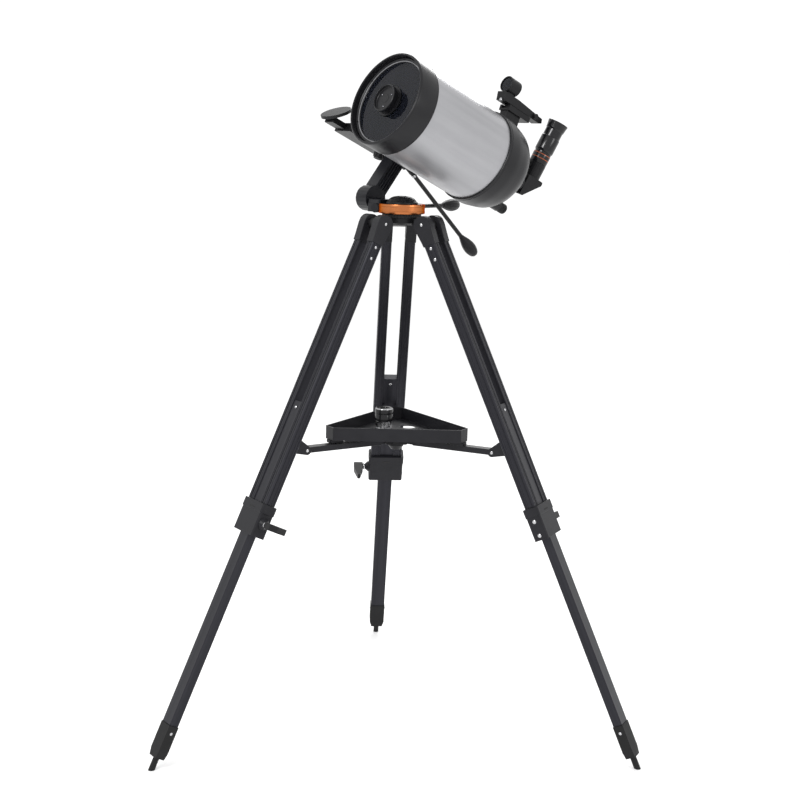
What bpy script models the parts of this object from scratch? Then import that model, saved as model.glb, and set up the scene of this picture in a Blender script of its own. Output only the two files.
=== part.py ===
"""Schmidt-Cassegrain telescope on a single-arm alt-azimuth mount and tripod.

Metres, +Z up.  The tripod's axis is vertical and the rear leg points to +Y.
Frames (empties) carry the pieces: one on each leg hinge, one on the azimuth axis,
one on the altitude axis, and one on each smaller joint.
"""
import math

import bmesh
import bpy
from mathutils import Matrix, Vector

# ----- driving dimensions -------------------------------------------------------------
GAP = 0.0003                    # clearance between pieces that seat on each other

# tripod
FOOT_RADIUS = 0.5147            # foot tip from the tripod's axis
HINGE_RADIUS = 0.0574           # leg hinge from the tripod's axis
HINGE_HEIGHT = 0.980
LEG_AZIMUTHS = (210.0, 330.0, 90.0)
CHANNEL = 0.0264                # free width between the two rails of a leg
RAIL_WIDTH = 0.0192
RAIL_DEPTH = 0.022
LOWER_WIDTH = 0.030
LOWER_DEPTH = 0.018
LOWER_WALL = 0.0015
LOWER_LENGTH = 0.719            # tip to top end of the sliding lower leg
CLAMP_FROM_TIP = 0.459          # lower face of the clamp block
CLAMP_BLOCK = 0.045
CLAMP_COLLAR = 0.017
CLAMP_WIDTH = 0.072
CLAMP_DEPTH = 0.029
EAR_RADIUS = 0.0165
EAR_DROP = 0.040
PIN_RADIUS = 0.004
FOOT_BLOCK_TOP = 0.088          # along the leg from the tip
FOOT_TIP = 0.024
FOOT_TIP_RADIUS = 0.0058
HEAD_RADIUS = 0.034
HEAD_BOTTOM = 0.977
HEAD_TOP = 0.990

# spreader and tray
BRACE_HEIGHT = 0.5625           # the three arms lie level here
BRACE_HUB_RADIUS = 0.024        # hub pivot from the axis
BRACE_WIDTH = 0.019
BRACE_DEPTH = 0.011
BRACKET_ALONG = 0.441           # arm pivot below the leg hinge, along the leg
BRACKET_OFFSET = 0.041          # arm pivot inside the leg's middle plane
TRAY_BOTTOM = 0.575
TRAY_HEIGHT = 0.025
TRAY_CORNER = 0.171             # radius of the triangle's sharp corners
TRAY_CUT = 0.024                # how much of each corner is cut away
TRAY_WALL = 0.0018
TRAY_TURN = -2.6                # degrees

# azimuth unit
HEADING = -143.1                # direction the tube points, degrees from +X
BASE_RADIUS = 0.036
HOUSING_BOTTOM = 0.9985
HOUSING_TOP = 1.0155
RING_BOTTOM = 0.998
RING_TOP = 1.016
RING_RADIUS = 0.04365
RING_WALL = 0.0022
AZ_WHEEL_RADIUS = 0.0386
AZ_WORM_OFFSET = 0.046
AZ_WORM_RADIUS = 0.0070
AZ_WORM_HEIGHT = 1.0065
AZ_WORM_SPLAY = 13.5            # degrees outwards from straight back
SPINDLE_RADIUS = 0.0115
CAP_RADIUS = 0.030
CAP_TOP = 1.031

# arm
ARM_INNER = -0.0663             # inner face of the arm, from the azimuth axis
ARM_THICKNESS = 0.029
ARM_WIDTH = 0.030
ELBOW = (0.0097, 1.0229)        # forward, height
ELBOW_RADIUS = 0.0245
ALT_AXIS = (-0.0785, 1.1325)    # forward, height
ARM_HEAD_RADIUS = 0.0365
ALT_WHEEL_RADIUS = 0.0305
ALT_WORM_OFFSET = 0.0374
ALT_ROD_DROP = 43.0             # degrees below straight back
ALT_WORM_RADIUS = 0.0066
ALT_WORM_PLANE = -0.0755        # sideways place of the wheel and worm
COVER_THICKNESS = 0.003

# control rods
ROD_RADIUS = 0.0042
KNOB_RADIUS = 0.0125
KNOB_LENGTH = 0.050
AZ_ROD_END = 0.208              # from the worm's middle
ALT_ROD_END = 0.241

# tube
TUBE_SIDE = 0.056               # tube axis to the left of the azimuth axis
ALTITUDE = 23.39                # degrees
TUBE_FRONT = 0.1895             # front face ahead of the altitude axis
TUBE_RADIUS = 0.088
TUBE_WALL = 0.0015
FRONT_CELL_LENGTH = 0.0466
FRONT_CELL_RADIUS = 0.0895
REAR_CELL_START = 0.2455        # behind the front face
REAR_CELL_RADIUS = 0.0912
REAR_CELL_BACK = 0.352
CLEAR_APERTURE = 0.0765
SECONDARY_RADIUS = 0.026
FOCUS_KNOB = (0.010, -0.066)    # left, up
FOCUS_SEAT = 0.3375             # where the knob turns, behind the front face

# dovetail and saddle
DOVETAIL_INNER = -0.0945
DOVETAIL_THICKNESS = 0.012
DOVETAIL_WIDTH = 0.044
DOVETAIL_NARROW = 0.036
SADDLE_BACK = (-0.045, 0.100)   # rear and front ends
SADDLE_KNOB_X = 0.080
SADDLE_BOSS = 0.030             # how far the screw boss stands below the jaws

# eyepiece end
DIAGONAL_BACK = 0.399           # crossing of the two light paths, behind the front face
DIAGONAL_ROLL = 12.9            # degrees to the left of straight up
BARREL_RADIUS = 0.01585         # 1.25 inch
SOCKET_RADIUS = 0.0178
SOCKET_TOP = 0.052
EYEPIECE_TOP = 0.1395

# ----- derived ----------------------------------------------------------------------
STAND_Y = -FOOT_RADIUS / 4.0 + 0.002     # puts the origin under the middle of the whole object
LEG_TILT = math.atan2(FOOT_RADIUS - HINGE_RADIUS, HINGE_HEIGHT)
LEG_LENGTH = math.hypot(FOOT_RADIUS - HINGE_RADIUS, HINGE_HEIGHT)
RAIL_IN = CHANNEL / 2
RAIL_OUT = RAIL_IN + RAIL_WIDTH
CLAMP_BOTTOM = -(LEG_LENGTH - CLAMP_FROM_TIP)
CLAMP_TOP = CLAMP_BOTTOM + CLAMP_BLOCK + CLAMP_COLLAR
TRAY_TOP = TRAY_BOTTOM + TRAY_HEIGHT
ARM_OUTER = ARM_INNER - ARM_THICKNESS
ARM_VECTOR = Vector((ELBOW[0] - ALT_AXIS[0], ELBOW[1] - ALT_AXIS[1]))
ARM_LENGTH = ARM_VECTOR.length
ARM_ANGLE = math.atan2(ARM_VECTOR.y, ARM_VECTOR.x)


# ----- modelling helpers ------------------------------------------------------------------
def mesh_object(vertices, faces):
    """A closed mesh with its faces pointing out."""
    mesh = bpy.data.meshes.new("shape")
    mesh.from_pydata([tuple(v) for v in vertices], [], faces)
    work = bmesh.new()
    work.from_mesh(mesh)
    bmesh.ops.recalc_face_normals(work, faces=work.faces)
    if work.calc_volume(signed=True) < 0:
        bmesh.ops.reverse_faces(work, faces=work.faces)
    work.to_mesh(mesh)
    work.free()
    shape = bpy.data.objects.new("shape", mesh)
    bpy.context.collection.objects.link(shape)
    return shape


def along(axis, u, v, w):
    """Point with w along the axis and u, v across it."""
    if axis == "X":
        return (w, u, v)
    if axis == "Y":
        return (u, w, v)
    return (u, v, w)


def turned(profile, axis="Z", sides=24, ring=False):
    """Turn (distance along, radius) points; ring=True closes the profile on itself."""
    vertices, rings, faces = [], [], []
    for place, radius in profile:
        if radius < 1e-9:
            rings.append([len(vertices)])
            vertices.append(along(axis, 0, 0, place))
            continue
        first = len(vertices)
        rings.append(list(range(first, first + sides)))
        for k in range(sides):
            turn = math.tau * k / sides
            vertices.append(along(axis, radius * math.cos(turn), radius * math.sin(turn), place))
    pairs = list(zip(rings, rings[1:]))
    if ring:
        pairs.append((rings[-1], rings[0]))
    for low, high in pairs:
        for k in range(sides):
            n = (k + 1) % sides
            if len(low) == 1:
                faces.append((low[0], high[k], high[n]))
            elif len(high) == 1:
                faces.append((low[k], low[n], high[0]))
            else:
                faces.append((low[k], low[n], high[n], high[k]))
    if not ring:
        for end in (rings[0], rings[-1]):
            if len(end) > 1:
                faces.append(tuple(end))
    return mesh_object(vertices, faces)


def rod(radius, start, end, axis="Z", sides=20):
    return turned([(start, radius), (end, radius)], axis, sides)


def sleeve(inner, outer, start, end, axis="Z", sides=32):
    return turned([(start, inner), (start, outer), (end, outer), (end, inner)], axis, sides, True)


def prism(outline, start, end, axis="Z"):
    """Extrude a closed outline of (u, v) points from start to end along the axis."""
    count = len(outline)
    vertices = [along(axis, u, v, w) for w in (start, end) for u, v in outline]
    faces = [tuple(range(count)), tuple(range(2 * count - 1, count - 1, -1))]
    for k in range(count):
        n = (k + 1) % count
        faces.append((k, n, count + n, count + k))
    return mesh_object(vertices, faces)


def box(x0, x1, y0, y1, z0, z1):
    return prism([(x0, y0), (x1, y0), (x1, y1), (x0, y1)], z0, z1)


def loft(low, low_height, high, high_height):
    """Solid between two rectangles (half x, half y) at two heights."""
    vertices = []
    for (hx, hy), z in ((low, low_height), (high, high_height)):
        vertices += [(-hx, -hy, z), (hx, -hy, z), (hx, hy, z), (-hx, hy, z)]
    faces = [(0, 1, 2, 3), (4, 5, 6, 7)] + [(k, (k + 1) % 4, 4 + (k + 1) % 4, 4 + k) for k in range(4)]
    return mesh_object(vertices, faces)


def arc(centre, radius, start, end, steps):
    """Points on an arc, angles in degrees."""
    points = []
    for k in range(steps + 1):
        turn = math.radians(start + (end - start) * k / steps)
        points.append((centre[0] + radius * math.cos(turn), centre[1] + radius * math.sin(turn)))
    return points


def rounded(x0, x1, y0, y1, radius, steps=3):
    """Rectangle outline with round corners."""
    return (arc((x1 - radius, y1 - radius), radius, 0, 90, steps)
            + arc((x0 + radius, y1 - radius), radius, 90, 180, steps)
            + arc((x0 + radius, y0 + radius), radius, 180, 270, steps)
            + arc((x1 - radius, y0 + radius), radius, 270, 360, steps))


def combine(shape, others, operation):
    """Boolean each of the others into the shape, and drop them."""
    for other in others:
        step = shape.modifiers.new("step", "BOOLEAN")
        step.operation = operation
        step.solver = "EXACT"
        step.object = other
        bpy.context.view_layer.update()
        result = bpy.data.meshes.new_from_object(shape.evaluated_get(bpy.context.evaluated_depsgraph_get()))
        shape.modifiers.clear()
        shape.data = result
        bpy.data.objects.remove(other, do_unlink=True)
    return shape


def add(shape, *others):
    return combine(shape, others, "UNION")


def cut(shape, *others):
    return combine(shape, others, "DIFFERENCE")


def shifted(shape, matrix):
    """Move a loose shape by changing its mesh."""
    shape.data.transform(matrix)
    return shape


def material(name, colour, roughness, metallic=0.0):
    made = bpy.data.materials.new(name)
    made.use_nodes = True
    shader = made.node_tree.nodes["Principled BSDF"]
    shader.inputs["Base Color"].default_value = (*colour, 1.0)
    shader.inputs["Roughness"].default_value = roughness
    shader.inputs["Metallic"].default_value = metallic
    return made


def frame(name, parent, matrix):
    """An empty placed by a matrix given in its parent's frame."""
    empty = bpy.data.objects.new(name, None)
    bpy.context.collection.objects.link(empty)
    empty.parent = parent
    empty.matrix_local = matrix
    return empty


def node(name, shape, parent, finish):
    """Name a finished shape, give it its material and put it in its frame."""
    shape.name = name
    shape.data.name = name
    shape.data.materials.clear()
    shape.data.materials.append(finish)
    shape.data.shade_smooth()
    shape.data.set_sharp_from_angle(angle=math.radians(35))
    shape.parent = parent
    return shape


# ----- start ----------------------------------------------------------------------------
for old in list(bpy.data.objects):
    bpy.data.objects.remove(old, do_unlink=True)

BLACK = material("black_plastic", (0.018, 0.018, 0.020), 0.45)
SATIN = material("satin_black_paint", (0.022, 0.023, 0.026), 0.38)
RAIL = material("grey_anodised", (0.085, 0.085, 0.095), 0.40, 0.6)
GREY = material("grey_moulding", (0.070, 0.070, 0.078), 0.50)
RUBBER = material("rubber", (0.020, 0.020, 0.022), 0.75)
SILVER = material("silver_tube", (0.55, 0.55, 0.57), 0.32, 0.7)
COPPER = material("copper_anodised", (0.80, 0.32, 0.10), 0.28, 1.0)
BRASS = material("brass", (0.70, 0.50, 0.22), 0.35, 1.0)
STEEL = material("bright_steel", (0.75, 0.75, 0.76), 0.22, 1.0)
GLASS = material("coated_glass", (0.020, 0.030, 0.045), 0.04)
MIRROR = material("mirror", (0.90, 0.90, 0.90), 0.03, 1.0)

stand = frame("stand", None, Matrix.Translation((0, STAND_Y, 0)))


# ----- tripod head ----------------------------------------------------------------------
def leg_matrix(azimuth):
    """Leg frame: X sideways, Y towards the axis, Z up along the leg, origin on its hinge."""
    a = math.radians(azimuth)
    out = Vector((math.cos(a), math.sin(a), 0))
    side = Vector((-math.sin(a), math.cos(a), 0))
    up = Vector((0, 0, math.cos(LEG_TILT))) - out * math.sin(LEG_TILT)
    inward = up.cross(side)
    matrix = Matrix((side, inward, up)).transposed().to_4x4()
    matrix.translation = out * HINGE_RADIUS + Vector((0, 0, HINGE_HEIGHT))
    return matrix


def tripod_head():
    lug_half = CHANNEL / 2 - GAP
    lug_radius = 0.0105
    body = turned([(HEAD_BOTTOM, 0.028), (HEAD_BOTTOM + 0.004, HEAD_RADIUS), (HEAD_TOP, HEAD_RADIUS)], sides=48)
    for azimuth in LEG_AZIMUTHS:
        outline = ([(0.024, HEAD_TOP - 0.001), (0.024, HEAD_BOTTOM + 0.002)]
                   + arc((HINGE_RADIUS, HINGE_HEIGHT), lug_radius, -100, 100, 10))
        lug = prism(outline, -lug_half, lug_half, "Y")
        add(body, shifted(lug, Matrix.Rotation(math.radians(azimuth), 4, "Z")))
    for azimuth in LEG_AZIMUTHS:
        hole = rod(PIN_RADIUS + GAP, -lug_half - 0.01, lug_half + 0.01, "Y")
        shifted(hole, Matrix.Translation((HINGE_RADIUS, 0, HINGE_HEIGHT)))
        cut(body, shifted(hole, Matrix.Rotation(math.radians(azimuth), 4, "Z")))
    cut(body, rod(0.0090, HEAD_BOTTOM - 0.01, HEAD_BOTTOM + 0.007), rod(0.0053, 0.95, 1.0))
    return node("tripod_head", body, stand, BLACK)


def head_bolt():
    """Bolt from under the head into the azimuth base."""
    shape = turned([(HEAD_BOTTOM + 0.0010, 0), (HEAD_BOTTOM + 0.0010, 0.0084), (HEAD_BOTTOM + 0.0067, 0.0084),
                    (HEAD_BOTTOM + 0.0067, 0.0050), (HEAD_TOP + 0.006, 0.0050), (HEAD_TOP + 0.006, 0)])
    return node("head_bolt", shape, stand, STEEL)


# ----- legs -----------------------------------------------------------------------------
def rail_outline(side):
    """Section of one rail, with the channel for the lower leg on its inner face."""
    half, lip = RAIL_DEPTH / 2, LOWER_DEPTH / 2 + GAP
    floor = LOWER_WIDTH / 2 + GAP
    points = [(RAIL_IN, -half), (RAIL_OUT - 0.004, -half), (RAIL_OUT, -half + 0.004),
              (RAIL_OUT, half - 0.004), (RAIL_OUT - 0.004, half), (RAIL_IN, half),
              (RAIL_IN, lip), (floor, lip), (floor, -lip), (RAIL_IN, -lip)]
    return [(side * x, y) for x, y in points]


def leg_rails(name, parent):
    """Two rails, their moulded top caps, the hinge pin and the brace bracket's cheeks."""
    cap_out = RAIL_OUT + 0.0012
    shape = rod(PIN_RADIUS, -cap_out + 0.004, cap_out - 0.004, "X")
    for side in (-1, 1):
        rail = prism(rail_outline(side), CLAMP_TOP + GAP, -EAR_DROP + 0.010)
        ear = prism(arc((0, 0), EAR_RADIUS, 0, 180, 10) + [(-EAR_RADIUS, -0.006), (-0.0125, -EAR_DROP),
                                                           (0.0125, -EAR_DROP), (EAR_RADIUS, -0.006)],
                    side * RAIL_IN, side * cap_out, "X")
        cheek_in = BRACE_WIDTH / 2 + 0.0009
        cheek = prism([(LOWER_DEPTH / 2 + 0.0007, -0.016), (BRACKET_OFFSET, -0.0085)]
                      + arc((BRACKET_OFFSET, 0), 0.0085, -60, 60, 4)
                      + [(BRACKET_OFFSET, 0.0085), (LOWER_DEPTH / 2 + 0.0007, 0.016)],
                      side * cheek_in, side * (RAIL_IN + 0.0018), "X")
        shifted(cheek, Matrix.Translation((0, 0, -BRACKET_ALONG)))
        add(shape, ear, rail, cheek)
    return node(name, shape, parent, RAIL)


def leg_clamp(name, parent):
    """Clamp block and collar at the rails' lower ends, bored for the lower leg and the screw."""
    half_x, half_y = CLAMP_WIDTH / 2, CLAMP_DEPTH / 2
    bore_x, bore_y = LOWER_WIDTH / 2 + GAP, LOWER_DEPTH / 2 + GAP
    middle = CLAMP_BOTTOM + CLAMP_BLOCK
    shape = prism(rounded(-half_x, half_x, -half_y, half_y, 0.004, 2), CLAMP_BOTTOM, middle + 0.001)
    collar = prism(rounded(-half_x - 0.001, half_x + 0.001, -half_y - 0.001, half_y + 0.001, 0.004, 2),
                   middle, CLAMP_TOP)
    boss = turned([(half_x - 0.003, 0.011), (half_x + 0.002, 0.011), (half_x + 0.008, 0.006)], "X", 16)
    shifted(boss, Matrix.Translation((0, 0, clamp_screw_height())))
    hole = rod(0.0034, 0.010, half_x + 0.02, "X", 16)
    shifted(hole, Matrix.Translation((0, 0, clamp_screw_height())))
    bore = box(-bore_x, bore_x, -bore_y, bore_y, CLAMP_BOTTOM - 0.01, CLAMP_TOP + 0.01)
    cut(add(shape, collar, boss), bore, hole)
    return node(name, shape, parent, GREY)


def clamp_screw_height():
    return CLAMP_BOTTOM + 0.6 * CLAMP_BLOCK


def clamp_screw(name, parent):
    """Lever screw that grips the lower leg; its frame's X is its axis."""
    start = LOWER_WIDTH / 2 + 2 * GAP
    head = CLAMP_WIDTH / 2 + 0.0085
    shape = turned([(start, 0.0030), (head, 0.0030), (head, 0.0065), (head + 0.006, 0.0065),
                    (head + 0.007, 0.0050)], "X", 16)
    wing = prism([(head + 0.0045, -0.0065), (head + 0.0235, -0.0065), (head + 0.0235, 0.012),
                  (head + 0.0160, 0.036), (head + 0.0110, 0.036), (head + 0.0045, 0.013)], -0.0060, 0.0060)
    return node(name, add(shape, wing), parent, STEEL)


def lower_leg(name, parent):
    bottom = -(LEG_LENGTH - FOOT_BLOCK_TOP) + GAP
    top = -(LEG_LENGTH - LOWER_LENGTH)
    half_x, half_y = LOWER_WIDTH / 2, LOWER_DEPTH / 2
    shape = box(-half_x, half_x, -half_y, half_y, bottom, top)
    bore = box(-half_x + LOWER_WALL, half_x - LOWER_WALL, -half_y + LOWER_WALL, half_y - LOWER_WALL,
               bottom - 0.01, top - 0.004)
    return node(name, cut(shape, bore), parent, RAIL)


def foot(name, parent):
    """Tapered foot block with a plug into the lower leg and a tip cut level with the floor."""
    top = -(LEG_LENGTH - FOOT_BLOCK_TOP)
    shoulder = -(LEG_LENGTH - FOOT_TIP)
    half_x, half_y = LOWER_WIDTH / 2, LOWER_DEPTH / 2
    shape = loft((half_x - 0.003, half_y + 0.0005), shoulder, (half_x + 0.001, half_y + 0.001), shoulder + 0.014)
    upper = box(-half_x - 0.001, half_x + 0.001, -half_y - 0.001, half_y + 0.001, shoulder + 0.0139, top)
    wall = LOWER_WALL + GAP
    plug = box(-half_x + wall, half_x - wall, -half_y + wall, half_y - wall, top - 0.004, top + 0.016)
    sides, vertices = 16, []
    for ring in range(2):
        for k in range(sides):
            turn = math.tau * k / sides
            x, y = FOOT_TIP_RADIUS * math.cos(turn), FOOT_TIP_RADIUS * math.sin(turn)
            floor = (y * math.sin(LEG_TILT) - HINGE_HEIGHT) / math.cos(LEG_TILT)
            vertices.append((x, y, floor if ring == 0 else shoulder + 0.006))
    faces = [tuple(range(sides)), tuple(range(sides, 2 * sides))]
    faces += [(k, (k + 1) % sides, sides + (k + 1) % sides, sides + k) for k in range(sides)]
    return node(name, add(shape, upper, plug, mesh_object(vertices, faces)), parent, RUBBER)


def brace(name, parent):
    """Spreader arm: X sideways, Y outwards, origin on the hub pivot."""
    length = brace_length()
    half, tongue = BRACE_DEPTH / 2, 0.0060
    wide = prism([(0.016, -half), (length, -half)] + arc((length, 0), half, -60, 60, 4)
                 + [(length, half), (0.016, half)], -BRACE_WIDTH / 2, BRACE_WIDTH / 2, "X")
    inner = prism(arc((0, 0), 0.0048, 90, 270, 6) + [(0.018, -0.0048), (0.018, 0.0048)], -tongue, tongue, "X")
    trough = box(-BRACE_WIDTH / 2 + 0.002, BRACE_WIDTH / 2 - 0.002, 0.026, length - 0.012, -half - 0.01, half - 0.002)
    pin_hole = rod(0.0020 + GAP, -0.02, 0.02, "X", 12)
    return node(name, cut(add(cut(wide, trough), inner), pin_hole), parent, GREY)


def brace_length():
    reach = (HINGE_RADIUS + BRACKET_ALONG * math.sin(LEG_TILT) - BRACKET_OFFSET * math.cos(LEG_TILT))
    return reach - BRACE_HUB_RADIUS


def build_legs():
    for number, azimuth in enumerate(LEG_AZIMUTHS, 1):
        leg = frame(f"leg_{number}", stand, leg_matrix(azimuth))
        leg_rails(f"leg_{number}_rails", leg)
        leg_clamp(f"leg_{number}_clamp", leg)
        screw = frame(f"screw_frame_{number}", leg, Matrix.Translation((0, 0, clamp_screw_height())))
        clamp_screw(f"leg_{number}_clamp_screw", screw)
        lower_leg(f"leg_{number}_lower", leg)
        foot(f"leg_{number}_foot", leg)
        turn = Matrix.Rotation(math.radians(azimuth - 90), 4, "Z")
        arm_frame = frame(f"brace_frame_{number}", stand,
                          Matrix.Translation((0, 0, BRACE_HEIGHT)) @ turn
                          @ Matrix.Translation((0, BRACE_HUB_RADIUS, 0)))
        brace(f"spreader_arm_{number}", arm_frame)


def spreader_hub():
    """Centre piece with a yoke and pin for each arm and a boss that the tray sits on."""
    shape = turned([(BRACE_HEIGHT - 0.018, 0.009), (BRACE_HEIGHT - 0.010, 0.0155), (BRACE_HEIGHT + 0.0075, 0.0155),
                    (BRACE_HEIGHT + 0.0075, 0.010), (TRAY_BOTTOM - GAP, 0.010)], sides=24)
    for azimuth in LEG_AZIMUTHS:
        outline = ([(0.0115, -0.0062)] + arc((BRACE_HUB_RADIUS, 0), 0.0062, -90, 90, 6) + [(0.0115, 0.0062)])
        yoke = prism(outline, -0.0092, 0.0092, "X")
        cut(yoke, box(-0.0063, 0.0063, 0.0172, 0.05, -0.01, 0.01))
        add(yoke, shifted(rod(0.0020, -0.0085, 0.0085, "X", 12), Matrix.Translation((0, BRACE_HUB_RADIUS, 0))))
        turn = Matrix.Rotation(math.radians(azimuth - 90), 4, "Z")
        add(shape, shifted(yoke, Matrix.Translation((0, 0, BRACE_HEIGHT)) @ turn))
    return node("spreader_hub", shape, stand, BLACK)


def triangle(corner, cut_back):
    """Equilateral triangle with its corners cut, corners towards the legs."""
    points = []
    half = cut_back * math.tan(math.radians(30))
    for azimuth in sorted(LEG_AZIMUTHS):
        a = math.radians(azimuth)
        out, side = Vector((math.cos(a), math.sin(a))), Vector((-math.sin(a), math.cos(a)))
        middle = out * (corner - cut_back)
        points += [middle - side * half, middle + side * half]
    return [(p.x, p.y) for p in points]


def accessory_tray(parent):
    """Shallow triangular tray with an eyepiece hole near each side."""
    shape = prism(triangle(TRAY_CORNER, TRAY_CUT), TRAY_BOTTOM, TRAY_TOP)
    inner = prism(triangle(TRAY_CORNER - 2 * TRAY_WALL, TRAY_CUT - TRAY_WALL), TRAY_BOTTOM + 0.002, TRAY_TOP + 0.01)
    cut(shape, inner)
    for azimuth in LEG_AZIMUTHS:
        a = math.radians(azimuth + 60)
        for sideways in (-0.040, 0.0, 0.040):
            hole = rod(0.0162, TRAY_BOTTOM - 0.01, TRAY_BOTTOM + 0.01, sides=20)
            shifted(hole, Matrix.Rotation(a, 4, "Z") @ Matrix.Translation((0.050, sideways, 0)))
            cut(shape, hole)
    return node("accessory_tray", shape, parent, GREY)


def spare_eyepiece(parent):
    """Short eyepiece standing on the tray; its frame's Z is its axis."""
    base = TRAY_BOTTOM + 0.002 + GAP
    wide, top = BARREL_RADIUS + 0.00165, base + 0.046
    shape = turned([(base, 0), (base, BARREL_RADIUS), (base + 0.020, BARREL_RADIUS), (base + 0.022, wide),
                    (top - 0.004, wide), (top, wide - 0.0025), (top, wide - 0.0070),
                    (top - 0.003, wide - 0.0080), (top - 0.003, 0)], sides=28)
    return node("spare_eyepiece", shape, parent, BLACK)


tripod_head()
head_bolt()
build_legs()
spreader_hub()
tray_frame = frame("tray_frame", stand, Matrix.Rotation(math.radians(TRAY_TURN), 4, "Z"))
accessory_tray(tray_frame)
spare_frame = frame("spare_frame", tray_frame, Matrix.Translation((-0.024, 0.012, 0)))
spare_eyepiece(spare_frame)

# ----- azimuth unit -----------------------------------------------------------------------
azimuth = frame("azimuth", stand, Matrix.Rotation(math.radians(HEADING), 4, "Z"))
WORM_AWAY = math.radians(180 + AZ_WORM_SPLAY)       # direction the azimuth rod runs
WORM_DIR = Vector((math.cos(WORM_AWAY), math.sin(WORM_AWAY)))
WORM_FOOT = Vector((-WORM_DIR.y, WORM_DIR.x)) * AZ_WORM_OFFSET


def toothed(radius, teeth, depth, thickness, middle, axis):
    """Toothed disc."""
    outline = []
    for k in range(2 * teeth):
        r, turn = radius - depth * (k % 2), math.pi * k / teeth
        outline.append((r * math.cos(turn), r * math.sin(turn)))
    return prism(outline, middle - thickness / 2, middle + thickness / 2, axis)


def threaded(radius, depth, start, end, pitch, sides=12):
    """Worm drawn as a row of thread crests along X."""
    profile = [(start, radius - depth)]
    count = int((end - start) / pitch)
    for k in range(count):
        base = start + pitch * k
        profile += [(base + 0.25 * pitch, radius), (base + 0.6 * pitch, radius), (base + 0.9 * pitch, radius - depth)]
    return turned(profile + [(end, radius - depth)], "X", sides)


def azimuth_base():
    """Fixed base on the tripod head, with the spindle and the worm wheel."""
    shape = turned([(HEAD_TOP + GAP, BASE_RADIUS - 0.002), (HEAD_TOP + 0.0025, BASE_RADIUS),
                    (HOUSING_BOTTOM - GAP, BASE_RADIUS)], sides=48)
    spindle = rod(SPINDLE_RADIUS, HEAD_TOP + 0.004, HOUSING_TOP + 0.006, sides=28)
    wheel = toothed(AZ_WHEEL_RADIUS, 40, 0.0012, 0.008, AZ_WORM_HEIGHT, "Z")
    hole = rod(0.0053, HEAD_TOP - 0.01, HEAD_TOP + 0.0065, sides=20)
    return node("azimuth_base", cut(add(shape, spindle, wheel), hole), stand, BRASS)


def along_worm(shape):
    """Turn a shape made along X onto the azimuth worm's line."""
    turn = Matrix.Rotation(WORM_AWAY, 4, "Z")
    place = Matrix.Translation((WORM_FOOT.x, WORM_FOOT.y, AZ_WORM_HEIGHT))
    return shifted(shape, place @ turn)


def azimuth_housing():
    """Turning housing over the base, with the foot that carries the arm."""
    outer = RING_RADIUS - RING_WALL - GAP
    shape = turned([(HOUSING_BOTTOM, outer), (HOUSING_TOP, outer)], sides=40)
    foot_x0, foot_x1 = ELBOW[0] - 0.024, ELBOW[0] + 0.021
    foot_low = prism(rounded(foot_x0, foot_x1, ARM_INNER + GAP, -0.020, 0.003, 2), HOUSING_BOTTOM + 0.0004, HOUSING_TOP - 0.0006)
    foot_high = prism(rounded(foot_x0 + 0.001, foot_x1 - 0.001, ARM_INNER + GAP + 0.0002, -CAP_RADIUS - 0.0015, 0.003, 2),
                      HOUSING_BOTTOM + 0.003, ELBOW[1] - 0.0005)
    boss = along_worm(rod(0.0088, -0.024, 0.034, "X", 20))
    collar = along_worm(rod(0.0068, 0.030, 0.040, "X", 20))
    add(shape, foot_low, foot_high, boss, collar)
    chamber = rod(AZ_WHEEL_RADIUS + 0.0007, HOUSING_BOTTOM - 0.01, HOUSING_TOP - 0.0035, sides=40)
    bearing = rod(SPINDLE_RADIUS + GAP, HOUSING_BOTTOM, HOUSING_TOP + 0.01, sides=28)
    worm_bore = along_worm(rod(AZ_WORM_RADIUS + 0.0004, -0.018, 0.018, "X", 20))
    shaft_bore = along_worm(rod(0.0033, 0.010, 0.060, "X", 16))
    cut(shape, chamber, bearing, worm_bore, shaft_bore)
    return node("azimuth_housing", shape, azimuth, SATIN)


def azimuth_ring():
    """Bright ring round the housing, open where the foot and the worm come out."""
    inner = RING_RADIUS - RING_WALL
    opening = (246.5, 320.5)                        # degrees
    count, vertices, faces = 32, [], []
    section = [(inner, RING_BOTTOM + 0.001), (RING_RADIUS - 0.0012, RING_BOTTOM), (RING_RADIUS, RING_BOTTOM + 0.004),
               (RING_RADIUS, RING_TOP - 0.004), (RING_RADIUS - 0.0012, RING_TOP), (inner, RING_TOP)]
    start, sweep = math.radians(opening[1]), math.radians(360 - (opening[1] - opening[0]))
    size = len(section)
    for k in range(count + 1):
        turn = start + sweep * k / count
        vertices += [(r * math.cos(turn), r * math.sin(turn), z) for r, z in section]
    for k in range(count):
        for n in range(size):
            m = (n + 1) % size
            faces.append((k * size + n, k * size + m, (k + 1) * size + m, (k + 1) * size + n))
    faces += [tuple(range(size)), tuple(range(count * size, (count + 1) * size))]
    return node("azimuth_ring", mesh_object(vertices, faces), azimuth, COPPER)


def azimuth_nut():
    """Nut on the spindle that holds the housing down."""
    low = HOUSING_TOP + GAP
    shape = sleeve(SPINDLE_RADIUS + GAP, 0.0180, low, low + 0.0055, sides=28)
    return node("azimuth_nut", shape, stand, STEEL)


def cup(outside, inside):
    """Hollow turned cup: an outer profile that ends on the axis less an inner one."""
    outer = turned([(outside[0][0], 0)] + outside, sides=28)
    depth = inside[0][0] - 0.01
    inner = turned([(depth, 0), (depth, inside[0][1])] + inside, sides=28)
    return cut(outer, inner)


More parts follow.
